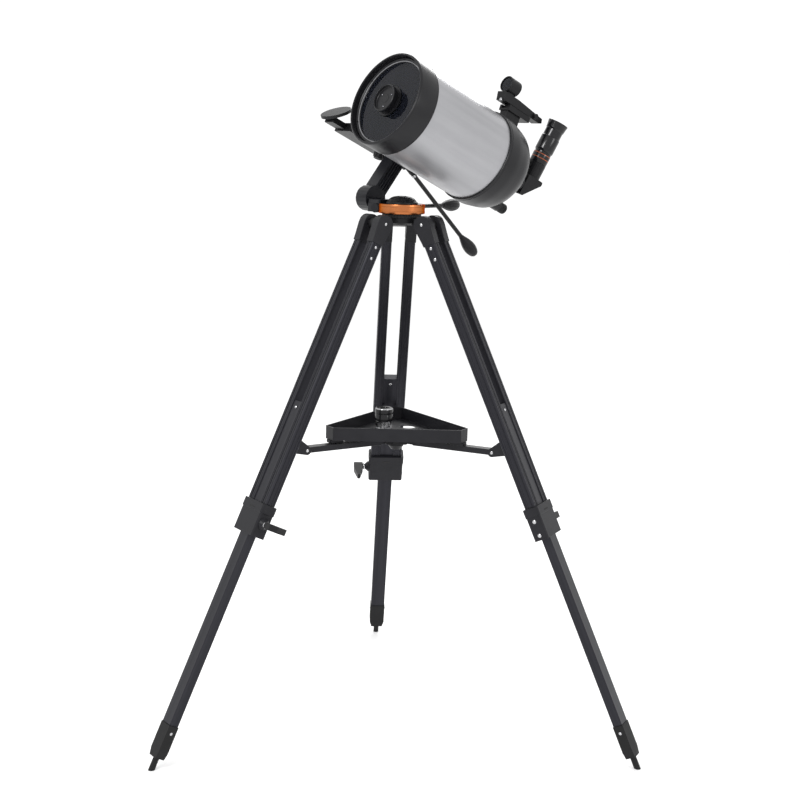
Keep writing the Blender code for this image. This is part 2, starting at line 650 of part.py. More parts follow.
def azimuth_cap():
    """Domed cap over the spindle."""
    low, wall = HOUSING_TOP + GAP, 0.002
    outside = [(low, CAP_RADIUS), (low + 0.003, CAP_RADIUS), (low + 0.008, CAP_RADIUS - 0.0045),
               (CAP_TOP - 0.0025, 0.0175), (CAP_TOP, 0.0130), (CAP_TOP, 0)]
    inside = [(low + 0.003, CAP_RADIUS - wall), (low + 0.007, CAP_RADIUS - 0.0075),
              (CAP_TOP - 0.0055, 0.0165), (CAP_TOP - wall, 0.0115), (CAP_TOP - wall, 0)]
    return node("azimuth_cap", cup(outside, inside), azimuth, BLACK)


def worm_shaft(name, radius, end, parent):
    """Worm with its shaft, turning about its frame's X."""
    shape = threaded(radius, 0.0013, -0.0165, 0.0165, 0.0047)
    return node(name, add(shape, rod(0.0030, 0.012, end, "X", 16)), parent, STEEL)


def control(name, start, end, parent):
    """Slow-motion rod with its ferrule and knob, along X from the worm's shaft."""
    ferrule, knob = 0.0058, end + KNOB_LENGTH
    shape = turned([(start, 0), (start, ferrule), (start + 0.016, ferrule), (start + 0.018, ROD_RADIUS),
                    (end, ROD_RADIUS), (end + 0.004, 0.0075), (end + 0.014, 0.0105), (end + 0.026, KNOB_RADIUS),
                    (end + 0.038, 0.0112), (knob - 0.003, 0.0075), (knob, 0)], "X", 20)
    bore = rod(0.0032, start - 0.01, start + 0.008, "X", 16)
    return node(name, cut(shape, bore), parent, BLACK)


azimuth_base()
azimuth_housing()
azimuth_ring()
azimuth_nut()
azimuth_cap()
az_worm = frame("azimuth_worm_frame", azimuth, Matrix.Translation((WORM_FOOT.x, WORM_FOOT.y, AZ_WORM_HEIGHT))
                @ Matrix.Rotation(WORM_AWAY, 4, "Z"))
worm_shaft("azimuth_worm", AZ_WORM_RADIUS, 0.050, az_worm)
control("azimuth_control", 0.0425, AZ_ROD_END, az_worm)


# ----- arm ------------------------------------------------------------------------------
def arm_outline(head, elbow, width):
    """Side outline of the arm in (forward, height), round the altitude axis and the elbow."""
    a = math.degrees(ARM_ANGLE)
    top = math.degrees(math.asin(min(0.99, width / head)))
    low = math.degrees(math.asin(min(0.99, width / elbow)))
    return (arc(ALT_AXIS, head, a + top, a + 360 - top, 22)
            + arc(ELBOW, elbow, a + 180 + low, a + 540 - low, 16))


def on_arm(distance, across):
    """Point in (forward, height): distance from the altitude axis towards the elbow, across forward."""
    c, s = math.cos(ARM_ANGLE), math.sin(ARM_ANGLE)
    return (ALT_AXIS[0] + distance * c - across * s, ALT_AXIS[1] + distance * s + across * c)


def rod_matrix():
    """Altitude worm frame in the azimuth frame: X runs down the control rod."""
    drop = math.radians(ALT_ROD_DROP)
    back = Vector((-math.cos(drop), 0, -math.sin(drop)))
    side = Vector((0, 1, 0))
    matrix = Matrix((back, side, back.cross(side))).transposed().to_4x4()
    matrix.translation = (ALT_AXIS[0] + ALT_WORM_OFFSET * math.sin(drop), ALT_WORM_PLANE,
                          ALT_AXIS[1] - ALT_WORM_OFFSET * math.cos(drop))
    return matrix


def mount_arm():
    """Cast arm: ribbed inner face, chamber for the worm wheel open to the cover."""
    half = ARM_WIDTH / 2
    shape = prism(arm_outline(ARM_HEAD_RADIUS, ELBOW_RADIUS, half), ARM_OUTER, ARM_INNER, "Y")
    boss = shifted(rod(0.0105, -0.024, 0.030, "X", 20), rod_matrix())
    add(shape, boss)
    chamber = rod(ALT_WHEEL_RADIUS + 0.0015, ARM_OUTER - 0.01, ARM_INNER - 0.0035, "Y", 40)
    shifted(chamber, Matrix.Translation((ALT_AXIS[0], 0, ALT_AXIS[1])))
    shaft = shifted(rod(0.0103, ARM_OUTER, ARM_INNER + 0.01, "Y", 24),
                    Matrix.Translation((ALT_AXIS[0], 0, ALT_AXIS[1])))
    worm_bore = shifted(rod(ALT_WORM_RADIUS + 0.0004, -0.018, 0.018, "X", 20), rod_matrix())
    shaft_bore = shifted(rod(0.0033, 0.010, 0.050, "X", 16), rod_matrix())
    cut(shape, chamber, shaft, worm_bore, shaft_bore)
    for across in (-0.0085, -0.0028, 0.0029, 0.0086):
        ends = [on_arm(0.046, across - 0.0015), on_arm(ARM_LENGTH - 0.022, across - 0.0015),
                on_arm(ARM_LENGTH - 0.022, across + 0.0015), on_arm(0.046, across + 0.0015)]
        cut(shape, prism(ends, ARM_INNER - 0.0016, ARM_INNER + 0.01, "Y"))
    return node("mount_arm", shape, azimuth, SATIN)


def arm_cover():
    """Flat cover on the arm's outer side."""
    outer = ARM_OUTER - GAP
    shape = prism(arm_outline(ARM_HEAD_RADIUS - 0.001, ELBOW_RADIUS - 0.001, ARM_WIDTH / 2 - 0.001),
                  outer - COVER_THICKNESS, outer, "Y")
    hole = shifted(rod(0.0063, outer - 0.02, outer + 0.02, "Y", 24), Matrix.Translation((ALT_AXIS[0], 0, ALT_AXIS[1])))
    return node("arm_cover", cut(shape, hole), azimuth, BLACK)


mount_arm()
arm_cover()
alt_worm = frame("altitude_worm_frame", azimuth, rod_matrix())
worm_shaft("altitude_worm", ALT_WORM_RADIUS, 0.042, alt_worm)
control("altitude_control", 0.0345, ALT_ROD_END, alt_worm)

# ----- altitude unit: everything below is in the tube's frame -------------------------------
altitude = frame("altitude", azimuth, Matrix.Translation((ALT_AXIS[0], TUBE_SIDE, ALT_AXIS[1]))
                 @ Matrix.Rotation(math.radians(-ALTITUDE), 4, "Y"))
ARM_NEAR = ARM_INNER - TUBE_SIDE                    # the arm's faces from the tube's axis
ARM_FAR = ARM_OUTER - TUBE_SIDE
COVER_FAR = ARM_FAR - GAP - COVER_THICKNESS
SADDLE_NEAR = DOVETAIL_INNER - DOVETAIL_THICKNESS - GAP
SADDLE_FAR = SADDLE_NEAR - 0.0105


def altitude_shaft():
    """Shaft through the arm with its worm wheel, and the flange that carries the saddle."""
    shape = turned([(SADDLE_FAR - GAP, 0.024), (ARM_NEAR + GAP, 0.024), (ARM_NEAR + GAP, 0.010),
                    (ARM_FAR + 0.006, 0.010), (ARM_FAR + 0.006, 0.006), (COVER_FAR - 0.016, 0.006)], "Y", 24)
    wheel = toothed(ALT_WHEEL_RADIUS, 32, 0.0012, 0.009, ALT_WORM_PLANE - TUBE_SIDE, "Y")
    return node("altitude_shaft", add(shape, wheel), altitude, BRASS)


def altitude_clutch():
    """Round clutch knob on the shaft's outer end."""
    near = COVER_FAR - GAP
    outline = []
    for k in range(24):
        outline.append((0.0235 if k % 2 else 0.0218, math.tau * k / 24))
    shape = prism([(r * math.cos(t), r * math.sin(t)) for r, t in outline], near - 0.020, near - 0.003, "Y")
    add(shape, rod(0.016, near - 0.004, near, "Y", 24), rod(0.018, near - 0.022, near - 0.018, "Y", 24))
    cut(shape, rod(0.006 + GAP, near - 0.0155 - GAP, near + 0.01, "Y", 20))
    return node("altitude_clutch_knob", shape, altitude, BLACK)


def dovetail_section(half_out, half_in, outer, inner):
    """Dovetail outline in (left, up): wide at the outer face."""
    return [(outer, -half_out), (inner, -half_in), (inner, half_in), (outer, half_out)]


def saddle():
    """Clamp saddle on the shaft's flange, gripping the dovetail bar's two edges."""
    rear, front = SADDLE_BACK
    half = DOVETAIL_WIDTH / 2
    outline = [(SADDLE_FAR, -half - 0.011), (DOVETAIL_INNER - 0.0022, -half - 0.011),
               (DOVETAIL_INNER - 0.0022, half + 0.011), (SADDLE_FAR, half + 0.011)]
    shape = prism(outline, rear, front, "X")
    slot_in = DOVETAIL_NARROW / 2 - (half - DOVETAIL_NARROW / 2)
    slot = prism([(SADDLE_NEAR, -half - GAP), (DOVETAIL_INNER + 0.012, -slot_in - GAP),
                  (DOVETAIL_INNER + 0.012, slot_in + GAP), (SADDLE_NEAR, half + GAP)], rear - 0.01, front + 0.01, "X")
    boss = shifted(rod(0.0095, -half - SADDLE_BOSS, -half - 0.008, "Z", 20),
                   Matrix.Translation((SADDLE_KNOB_X, SADDLE_NEAR + 0.004, 0)))
    hole = shifted(rod(0.0034, -half - 0.05, -half + 0.01, "Z", 16),
                   Matrix.Translation((SADDLE_KNOB_X, SADDLE_NEAR + 0.004, 0)))
    return node("saddle", cut(add(shape, boss), slot, hole), altitude, BLACK)


def saddle_knob(parent):
    """Knob that tightens the saddle, along its frame's Z, with a bright end."""
    top = -DOVETAIL_WIDTH / 2 - SADDLE_BOSS - GAP
    outline = []
    for k in range(20):
        r = 0.0108 if k % 2 else 0.0098
        outline.append((r * math.cos(math.tau * k / 20), r * math.sin(math.tau * k / 20)))
    shape = prism(outline, top - 0.0165, top)
    stem = rod(0.0030, top - 0.001, top + 0.0285, sides=16)
    end = rod(0.0085, top - 0.0195, top - 0.016, sides=20)
    return node("saddle_knob", add(shape, stem, end), parent, BLACK)


# ----- optical tube -----------------------------------------------------------------------
def tx(back):
    """Forward place of a point given its distance behind the front face."""
    return TUBE_FRONT - back


TUBE_LAP = 0.012                                    # how far the tube runs inside each cell
RIM_RECESS = 0.0150                                 # front face to the corrector's seat
CORRECTOR_THICKNESS = 0.004
HOLDER_HOLE = 0.0235
FOCUS_SHAFT = 0.0025


def dovetail_bar():
    """Dovetail bar with an end pad hollowed to fit each cell."""
    half, narrow = DOVETAIL_WIDTH / 2, DOVETAIL_NARROW / 2
    outer = DOVETAIL_INNER - DOVETAIL_THICKNESS
    rear, front = tx(REAR_CELL_START + 0.045), tx(FRONT_CELL_LENGTH - 0.0156)
    shape = prism(dovetail_section(half, narrow, outer, DOVETAIL_INNER), rear, front, "X")
    cell_edge = tx(FRONT_CELL_LENGTH)
    for x0, x1 in ((cell_edge + 0.002, front - 0.002), (rear + 0.002, tx(REAR_CELL_START) - 0.004)):
        pad = box(x0, x1, DOVETAIL_INNER - 0.002, -0.080, -narrow + 0.001, narrow - 0.001)
        add(shape, pad)
    cut(shape, rod(FRONT_CELL_RADIUS + GAP, cell_edge - 0.01, front + 0.05, "X", 96),
        rod(REAR_CELL_RADIUS + GAP, rear - 0.05, tx(REAR_CELL_START) + 0.01, "X", 96))
    return node("dovetail_bar", shape, tube, BLACK)


def optical_tube():
    shape = sleeve(TUBE_RADIUS - TUBE_WALL, TUBE_RADIUS, tx(REAR_CELL_START + TUBE_LAP),
                   tx(FRONT_CELL_LENGTH - TUBE_LAP), "X", 48)
    return node("optical_tube", shape, tube, SILVER)


def front_cell():
    """Front cell: rim, seat for the corrector, and a skirt over the tube."""
    lip = FRONT_CELL_RADIUS - 0.0035
    seat = tx(RIM_RECESS + CORRECTOR_THICKNESS)
    tube_end = tx(FRONT_CELL_LENGTH - TUBE_LAP) + GAP
    profile = [(tx(FRONT_CELL_LENGTH), TUBE_RADIUS + GAP), (tx(FRONT_CELL_LENGTH), FRONT_CELL_RADIUS - 0.0007),
               (tx(FRONT_CELL_LENGTH) + 0.0015, FRONT_CELL_RADIUS), (tx(0.003), FRONT_CELL_RADIUS),
               (tx(0.0), FRONT_CELL_RADIUS - 0.0018), (tx(0.0), lip), (tx(0.003), lip - 0.0012),
               (seat, CLEAR_APERTURE + 0.008), (seat, CLEAR_APERTURE), (tube_end, CLEAR_APERTURE),
               (tube_end, TUBE_RADIUS + GAP)]
    return node("front_cell", turned(profile, "X", 48, True), tube, BLACK)


def corrector_plate():
    seat = tx(RIM_RECESS + CORRECTOR_THICKNESS) + GAP
    shape = sleeve(HOLDER_HOLE + GAP, CLEAR_APERTURE + 0.0072, seat, seat + CORRECTOR_THICKNESS - 2 * GAP, "X", 48)
    return node("corrector_plate", shape, tube, GLASS)


def retaining_ring():
    """Ring that holds the corrector in the front cell."""
    low = tx(RIM_RECESS)
    profile = [(low, CLEAR_APERTURE), (low, CLEAR_APERTURE + 0.0074), (low + 0.003, CLEAR_APERTURE + 0.0074),
               (low + 0.004, CLEAR_APERTURE + 0.0065), (low + 0.001, CLEAR_APERTURE)]
    return node("retaining_ring", turned(profile, "X", 48, True), tube, BLACK)


def secondary_holder():
    """Holder through the corrector: shallow dish with three screws in front, mirror behind."""
    glass_front = tx(RIM_RECESS) - GAP
    glass_back = tx(RIM_RECESS + CORRECTOR_THICKNESS)
    rim = glass_front + 0.0185
    mirror_seat = glass_back - 0.016
    shape = turned([(mirror_seat, 0), (mirror_seat, 0.0255), (glass_back, 0.0270), (glass_back, HOLDER_HOLE),
                    (glass_front + GAP, HOLDER_HOLE), (glass_front + GAP, SECONDARY_RADIUS + 0.002),
                    (glass_front + 0.0035, SECONDARY_RADIUS + 0.002), (glass_front + 0.0035, SECONDARY_RADIUS - 0.001),
                    (rim - 0.0075, SECONDARY_RADIUS - 0.001), (rim - 0.0075, SECONDARY_RADIUS),
                    (rim - 0.0012, SECONDARY_RADIUS), (rim, SECONDARY_RADIUS - 0.0015),
                    (rim, SECONDARY_RADIUS - 0.0030), (rim - 0.0018, SECONDARY_RADIUS - 0.0042), (rim - 0.0018, 0)],
                   "X", 28)
    for k in range(3):
        turn = math.tau * (k + 0.25) / 3
        screw = rod(0.0024, rim - 0.004, rim - 0.0004, "X", 8)
        add(shape, shifted(screw, Matrix.Translation((0, 0.0125 * math.cos(turn), 0.0125 * math.sin(turn)))))
    cut(shape, rod(0.0222, mirror_seat - 0.01, mirror_seat + 0.0065, "X", 28))
    return node("secondary_holder", shape, tube, BLACK)


def secondary_mirror():
    """Small convex mirror in the back of its holder."""
    seat = tx(RIM_RECESS + CORRECTOR_THICKNESS) - 0.016 + 0.0065 - GAP
    shape = turned([(seat, 0), (seat, 0.0218), (seat - 0.0055, 0.0218), (seat - 0.0062, 0.012), (seat - 0.0065, 0)],
                   "X", 32)
    return node("secondary_mirror", shape, tube, MIRROR)


def rear_profile(grow=0.0):
    """Outer shape of the rear cell as (place, radius) points."""
    start, back = tx(REAR_CELL_START), tx(REAR_CELL_BACK)
    r = REAR_CELL_RADIUS + grow
    return [(start - 0.001, r), (start - 0.0275, r), (start - 0.0395, r - 0.0027), (start - 0.0545, r - 0.0057),
            (start - 0.0655, r - 0.0092), (start - 0.075, r - 0.0154), (start - 0.0845, r - 0.0257),
            (start - 0.0945, r - 0.0362), (start - 0.1015, r - 0.0442), (back, r - 0.0512)]


def rear_cell():
    """Rear casting: skirt over the tube, round back, holes for the baffle and the focus shaft."""
    start, back = tx(REAR_CELL_START), tx(REAR_CELL_BACK)
    tube_end = tx(REAR_CELL_START + TUBE_LAP) - GAP
    seat = TUBE_RADIUS - TUBE_WALL - 0.002
    outside = [(start, TUBE_RADIUS + GAP), (start, REAR_CELL_RADIUS - 0.001)] + rear_profile()
    inside = [(back, 0.0180), (back + 0.006, 0.0180), (back + 0.006, 0.0380), (start - 0.0885, 0.0520),
              (start - 0.079, 0.0630), (start - 0.0695, 0.0715), (start - 0.0595, 0.0775), (start - 0.053, 0.0795),
              (tube_end - 0.004, 0.0795), (tube_end - 0.002, seat), (tube_end, seat),
              (tube_end, TUBE_RADIUS + GAP)]
    shape = turned(outside + inside, "X", 48, True)
    place = Matrix.Translation((0, *FOCUS_KNOB))
    seat_x = tx(FOCUS_SEAT)
    boss = shifted(rod(0.0110, seat_x, seat_x + 0.018, "X", 20), place)
    hole = shifted(rod(FOCUS_SHAFT + GAP, seat_x - 0.02, seat_x + 0.04, "X", 16), place)
    return node("rear_cell", cut(add(shape, boss), hole), tube, SATIN)


def baffle_tube():
    """Flanged tube that the primary mirror slides on; it also carries the visual back."""
    back = tx(REAR_CELL_BACK)
    shape = turned([(back - 0.004, 0.0150), (back - 0.004, 0.0177), (back + 0.0062, 0.0177), (back + 0.0062, 0.024),
                    (back + 0.0092, 0.024), (back + 0.0092, 0.0170), (back + 0.160, 0.0150),
                    (back + 0.160, 0.0138)], "X", 24, True)
    return node("baffle_tube", shape, tube, BLACK)


PRIMARY_BACK = 0.306                                # back of the primary, behind the front face


def primary_mirror():
    """Concave main mirror with its central hole and the lug that the focus screw moves."""
    back = tx(PRIMARY_BACK)
    shape = turned([(back, 0.0176), (back, 0.068), (back + 0.005, 0.0765), (back + 0.016, 0.0765),
                    (back + 0.0135, 0.050), (back + 0.0125, 0.0176)], "X", 40, True)
    lug = shifted(rod(0.0055, back - 0.003, back + 0.004, "X", 16), Matrix.Translation((0, *FOCUS_KNOB)))
    hole = shifted(rod(FOCUS_SHAFT + GAP, back - 0.02, back + 0.008, "X", 16), Matrix.Translation((0, *FOCUS_KNOB)))
    return node("primary_mirror", cut(add(shape, lug), hole), tube, MIRROR)


def focus_knob(parent):
    """Focus knob with its screw, about its frame's X."""
    near = tx(FOCUS_SEAT) - GAP
    shape = turned([(near - 0.0170, 0), (near - 0.0170, 0.0085), (near - 0.0155, 0.0100), (near - 0.003, 0.0100),
                    (near, 0.0085), (near, FOCUS_SHAFT), (tx(0.301), FOCUS_SHAFT), (tx(0.301), 0)], "X", 24)
    return node("focus_knob", shape, parent, RUBBER)


altitude_shaft()
altitude_clutch()
saddle()
saddle_knob(frame("saddle_knob_frame", altitude, Matrix.Translation((SADDLE_KNOB_X, SADDLE_NEAR + 0.004, 0))))
tube = frame("tube", altitude, Matrix.Identity(4))
dovetail_bar()
optical_tube()
front_cell()
corrector_plate()
retaining_ring()
secondary_holder()
secondary_mirror()
rear_cell()
baffle_tube()
primary_mirror()
focus_knob(frame("focus_frame", tube, Matrix.Translation((0, *FOCUS_KNOB))))

# ----- eyepiece end -----------------------------------------------------------------------
VISUAL_BACK_END = REAR_CELL_BACK + 0.024


def visual_back():
    """Threaded ring on the baffle's end with the 1.25 inch bore."""
    back = tx(REAR_CELL_BACK)
    end = tx(VISUAL_BACK_END)
    shape = turned([(back - GAP, 0.0180), (back - GAP, 0.0250), (back - 0.011, 0.0250), (back - 0.012, 0.0200),
                    (end, 0.0200), (end, BARREL_RADIUS + GAP), (back - 0.0045, BARREL_RADIUS + GAP),
                    (back - 0.0045, 0.0180)], "X", 24, True)
    return node("visual_back", shape, tube, BLACK)


def star_diagonal(parent):
    """90 degree diagonal; its frame sits where the light turns, Z up the eyepiece."""
    half = 0.0195
    outline = [(0.0222, -0.0195), (0.0222, 0.0225), (-0.0175, 0.0225), (-0.0195, 0.0205), (-0.0195, 0.0150),
               (0.0145, -0.0195)]
    shape = prism(outline, -half, half, "Y")
    nose = rod(BARREL_RADIUS, 0.020, DIAGONAL_BACK - REAR_CELL_BACK - 0.0050, "X", 28)
    socket = rod(SOCKET_RADIUS, 0.020, SOCKET_TOP, "Z", 28)
    boss = shifted(rod(0.0050, 0.010, 0.0205, "X", 14), Matrix.Translation((0, 0, 0.042)))
    path = rod(0.0105, 0.0080, 0.08, "X", 24)
    light = rod(0.0101, 0.0087, 0.03, "Z", 22)
    bore = rod(BARREL_RADIUS + GAP, 0.0240, 0.08, "Z", 28)
    screw = shifted(rod(0.0023, 0.005, 0.03, "X", 12), Matrix.Translation((0, 0, 0.042)))
    return node("star_diagonal", cut(add(shape, nose, socket, boss), path, light, bore, screw), parent, BLACK)


def eyepiece_screw(parent):
    """Thumb screw that holds the eyepiece, about its frame's X."""
    start = BARREL_RADIUS + 2 * GAP
    shape = turned([(start, 0), (start, 0.0020), (0.0215, 0.0020), (0.0215, 0.0042), (0.0275, 0.0042), (0.0275, 0)],
                   "X", 14)
    return node("eyepiece_screw", shape, parent, STEEL)


def eyepiece(parent):
    """Long eyepiece: barrel in the socket, stepped body and a flared eye cup."""
    low, top = 0.0260, EYEPIECE_TOP
    seat = SOCKET_TOP + GAP
    shape = turned([(low, 0), (low, BARREL_RADIUS), (seat, BARREL_RADIUS), (seat, 0.0176), (seat + 0.020, 0.0180),
                    (seat + 0.021, 0.0172), (seat + 0.024, 0.0172), (seat + 0.025, 0.0188), (seat + 0.056, 0.0188),
                    (seat + 0.057, 0.0176), (top - 0.016, 0.0176), (top - 0.014, 0.0188), (top, 0.0208),
                    (top, 0.0180), (top - 0.006, 0.0110), (top - 0.006, 0)], "Z", 24)
    return node("eyepiece", shape, parent, BLACK)


visual_back()
diagonal = frame("diagonal_frame", tube, Matrix.Translation((tx(DIAGONAL_BACK), 0, 0))
                 @ Matrix.Rotation(math.radians(-DIAGONAL_ROLL), 4, "X"))
star_diagonal(diagonal)
eyepiece_screw(frame("eyepiece_screw_frame", diagonal, Matrix.Translation((0, 0, 0.042))))
eyepiece(frame("eyepiece_frame", diagonal, Matrix.Identity(4)))


# ----- finder -----------------------------------------------------------------------------
FINDER_BACK = 0.264                                 # front of the finder's window tube
FINDER_HEIGHT = 0.156
FINDER_SEAT = REAR_CELL_RADIUS + 0.0215             # bottom of the finder's dovetail slot


def finder_bracket():
    """Dovetail shoe on a foot shaped to the rear cell."""
    foot_shape = box(tx(0.318), tx(0.281), -0.0095, 0.0095, REAR_CELL_RADIUS - 0.018, FINDER_SEAT - 0.002)
    hollow = [(tx(0.20), 0), (tx(0.20), REAR_CELL_RADIUS + GAP)] + rear_profile(GAP)[1:] + [(tx(0.352), 0)]
    cut(foot_shape, turned(hollow, "X", 96))
    shoe = box(tx(0.340), tx(0.279), -0.0135, 0.0135, FINDER_SEAT - 0.004, FINDER_SEAT + 0.007)
    slot = prism([(-0.0090, FINDER_SEAT), (0.0090, FINDER_SEAT), (0.0068, FINDER_SEAT + 0.0105),
                  (-0.0068, FINDER_SEAT + 0.0105)], tx(0.40), tx(0.20), "X")
    return node("finder_bracket", cut(add(foot_shape, shoe), slot), tube, BLACK)


def red_dot_finder(parent):
    """Reflex finder: dovetail foot, body with battery box, window tube."""
    seat = FINDER_SEAT + GAP
    foot_shape = prism([(-0.0087, seat), (0.0087, seat), (0.0067, seat + 0.0095), (-0.0067, seat + 0.0095)],
                       tx(0.334), tx(0.284), "X")
    top = FINDER_SEAT + 0.0085
    body = prism([(tx(0.262), top), (tx(0.369), top), (tx(0.3755), top + 0.003),
                  (tx(0.3735), top + 0.0115), (tx(0.300), top + 0.0170), (tx(0.259), top + 0.0170)],
                 -0.0110, 0.0110, "Y")
    window = sleeve(0.0135, 0.0160, tx(FINDER_BACK + 0.028), tx(FINDER_BACK), "X", 32)
    shifted(window, Matrix.Translation((0, 0, FINDER_HEIGHT)))
    neck = box(tx(FINDER_BACK + 0.022), tx(FINDER_BACK + 0.006), -0.0070, 0.0070, top + 0.012, FINDER_HEIGHT - 0.0140)
    return node("red_dot_finder", add(foot_shape, body, window, neck), parent, BLACK)


def finder_dial(parent):
    """Brightness dial and switch on the finder's side, about its frame's Y."""
    shape = turned([(0.0113, 0), (0.0113, 0.0055), (0.0158, 0.0055), (0.0168, 0.0045), (0.0168, 0)], "Y", 20)
    return node("finder_dial", shape, parent, BLACK)


finder_bracket()
finder = frame("finder_frame", tube, Matrix.Identity(4))
red_dot_finder(finder)
finder_dial(frame("finder_dial_frame", finder, Matrix.Translation((tx(0.352), 0, FINDER_SEAT + 0.0155))))

# ----- phone dock ---------------------------------------------------------------------------
DOCK_NEAR = COVER_FAR - 0.024
DOCK_FAR = -0.243


def dock_bracket():
    """Bar from the saddle's front end past the arm, with the phone shelf's rail."""
    x1 = SADDLE_BACK[1]
    bar = box(0.084, x1, DOCK_FAR + 0.030, SADDLE_FAR - GAP, -0.0265, -0.0145)
    rail = box(-0.005, x1 + 0.004, DOCK_FAR + 0.012, DOCK_NEAR - 0.004, -0.0275, -0.0105)
    return node("dock_bracket", add(bar, rail), altitude, BLACK)


def dock_shelf():
    """Flat shelf for a phone, with a fence along its outer edge."""
    low = -0.0102
    shelf = prism(rounded(-0.052, 0.072, DOCK_FAR, DOCK_NEAR, 0.006, 3), low, low + 0.005)
    fence = box(-0.046, 0.060, DOCK_FAR, DOCK_FAR + 0.004, low + 0.001, low + 0.016)
    return node("dock_shelf", add(shelf, fence), altitude, BLACK)


def dock_jaw(parent):
    """Sliding jaw that holds the phone against the fence; it moves sideways."""
    low = -0.0102 + 0.005 + GAP
    shape = box(0.004, 0.034, DOCK_NEAR - 0.006, DOCK_NEAR - 0.001, low, low + 0.013)
    pad = box(0.008, 0.030, DOCK_NEAR - 0.0095, DOCK_NEAR - 0.0055, low + 0.001, low + 0.006)
    return node("dock_jaw", add(shape, pad), parent, RUBBER)


def dock_mirror():
    """Oval mirror plate at 45 degrees in front of the shelf, on its own stalk."""
    sides, vertices, thick = 32, [], 0.006
    for layer in range(2):
        for k in range(sides):
            turn = math.tau * k / sides
            vertices.append((0.028 * math.cos(turn), 0.0345 * math.sin(turn), -layer * thick))
    faces = [tuple(range(sides)), tuple(range(sides, 2 * sides))]
    faces += [(k, (k + 1) % sides, sides + (k + 1) % sides, sides + k) for k in range(sides)]
    place = (Matrix.Translation((0.128, -0.214, 0.002)) @ Matrix.Rotation(math.radians(45), 4, "Y"))
    plate = shifted(mesh_object(vertices, faces), place)
    stalk = box(SADDLE_BACK[1] + 0.004 + GAP, 0.1365, -0.226, -0.200, -0.0240, -0.0125)
    return node("dock_mirror", add(plate, stalk), altitude, BLACK)


dock_bracket()
dock_shelf()
dock_jaw(frame("dock_jaw_frame", altitude, Matrix.Identity(4)))
dock_mirror()
bpy.context.view_layer.update()
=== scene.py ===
"""Finish, small parts, light and camera for a Schmidt-Cassegrain telescope on its tripod."""
import math

import bmesh
import bpy
from mathutils import Matrix, Vector


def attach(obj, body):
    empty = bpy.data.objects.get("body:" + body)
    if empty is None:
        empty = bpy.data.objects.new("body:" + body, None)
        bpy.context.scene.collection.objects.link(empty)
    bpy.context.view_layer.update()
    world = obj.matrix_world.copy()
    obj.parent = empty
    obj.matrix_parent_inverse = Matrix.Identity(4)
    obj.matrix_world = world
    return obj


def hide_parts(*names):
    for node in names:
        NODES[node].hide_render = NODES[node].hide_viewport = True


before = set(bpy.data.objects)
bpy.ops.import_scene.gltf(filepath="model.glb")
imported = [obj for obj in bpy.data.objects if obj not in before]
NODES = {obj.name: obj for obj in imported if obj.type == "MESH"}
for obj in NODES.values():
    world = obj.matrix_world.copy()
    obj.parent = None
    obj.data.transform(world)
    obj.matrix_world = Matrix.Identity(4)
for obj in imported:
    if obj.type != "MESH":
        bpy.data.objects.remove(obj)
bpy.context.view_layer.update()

# ----- camera -----------------------------------------------------------------------------
camera_data = bpy.data.cameras.new("camera")
camera_data.lens = 67.93
camera_data.sensor_width = 36.0
camera = bpy.data.objects.new("camera", camera_data)
bpy.context.scene.collection.objects.link(camera)
camera.matrix_world = (Matrix.Translation((-0.1944, -2.9492, 1.1386))
                       @ Matrix.Rotation(math.radians(-3.86), 4, "Z")
                       @ Matrix.Rotation(math.radians(90 - 9.798), 4, "X")
                       @ Matrix.Rotation(math.radians(1.467), 4, "Z"))
bpy.context.scene.camera = camera

# ----- frames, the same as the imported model's ---------------------------------------------
STAND_Y = -0.126675                 # tripod's axis
HEADING = -143.1                    # degrees; the mount's forward direction from +X
AXIS_X, AXIS_Z = -0.0785, 1.1325    # altitude axis: forward, height
TUBE_SIDE, TUBE_TILT = 0.056, 23.39
TUBE_FRONT = 0.1895                 # tube's front face, ahead of the altitude axis
DIAGONAL_BACK, DIAGONAL_ROLL = 0.399, 12.9
TRAY_TURN = -2.6
AZ_WORM_TURN, AZ_WORM_OFFSET, AZ_WORM_HEIGHT = 193.5, 0.046, 1.0065
ALT_ROD_DROP, ALT_WORM_OFFSET, ALT_WORM_PLANE = 43.0, 0.0374, -0.0755
LEG_AZIMUTHS = (210.0, 330.0, 90.0)
HINGE_RADIUS, HINGE_HEIGHT, FOOT_RADIUS = 0.0574, 0.980, 0.5147
LEG_TILT = math.atan2(FOOT_RADIUS - HINGE_RADIUS, HINGE_HEIGHT)
LEG_LENGTH = math.hypot(FOOT_RADIUS - HINGE_RADIUS, HINGE_HEIGHT)
STAND = Matrix.Translation((0, STAND_Y, 0))
MOUNT = STAND @ Matrix.Rotation(math.radians(HEADING), 4, "Z")
TUBE = (MOUNT @ Matrix.Translation((AXIS_X, TUBE_SIDE, AXIS_Z))
        @ Matrix.Rotation(math.radians(-TUBE_TILT), 4, "Y"))
DIAGONAL = (TUBE @ Matrix.Translation((TUBE_FRONT - DIAGONAL_BACK, 0, 0))
            @ Matrix.Rotation(math.radians(-DIAGONAL_ROLL), 4, "X"))
TRAY = STAND @ Matrix.Rotation(math.radians(TRAY_TURN), 4, "Z")
SPARE = TRAY @ Matrix.Translation((-0.024, 0.012, 0))


def leg_frame(azimuth):
    """Frame of a leg: origin at its hinge, Z up along the leg, X along the hinge pin."""
    a = math.radians(azimuth)
    out = Vector((math.cos(a), math.sin(a), 0))
    side = Vector((-math.sin(a), math.cos(a), 0))
    up = Vector((0, 0, math.cos(LEG_TILT))) - out * math.sin(LEG_TILT)
    matrix = Matrix((side, up.cross(side), up)).transposed().to_4x4()
    matrix.translation = out * HINGE_RADIUS + Vector((0, STAND_Y, HINGE_HEIGHT))
    return matrix


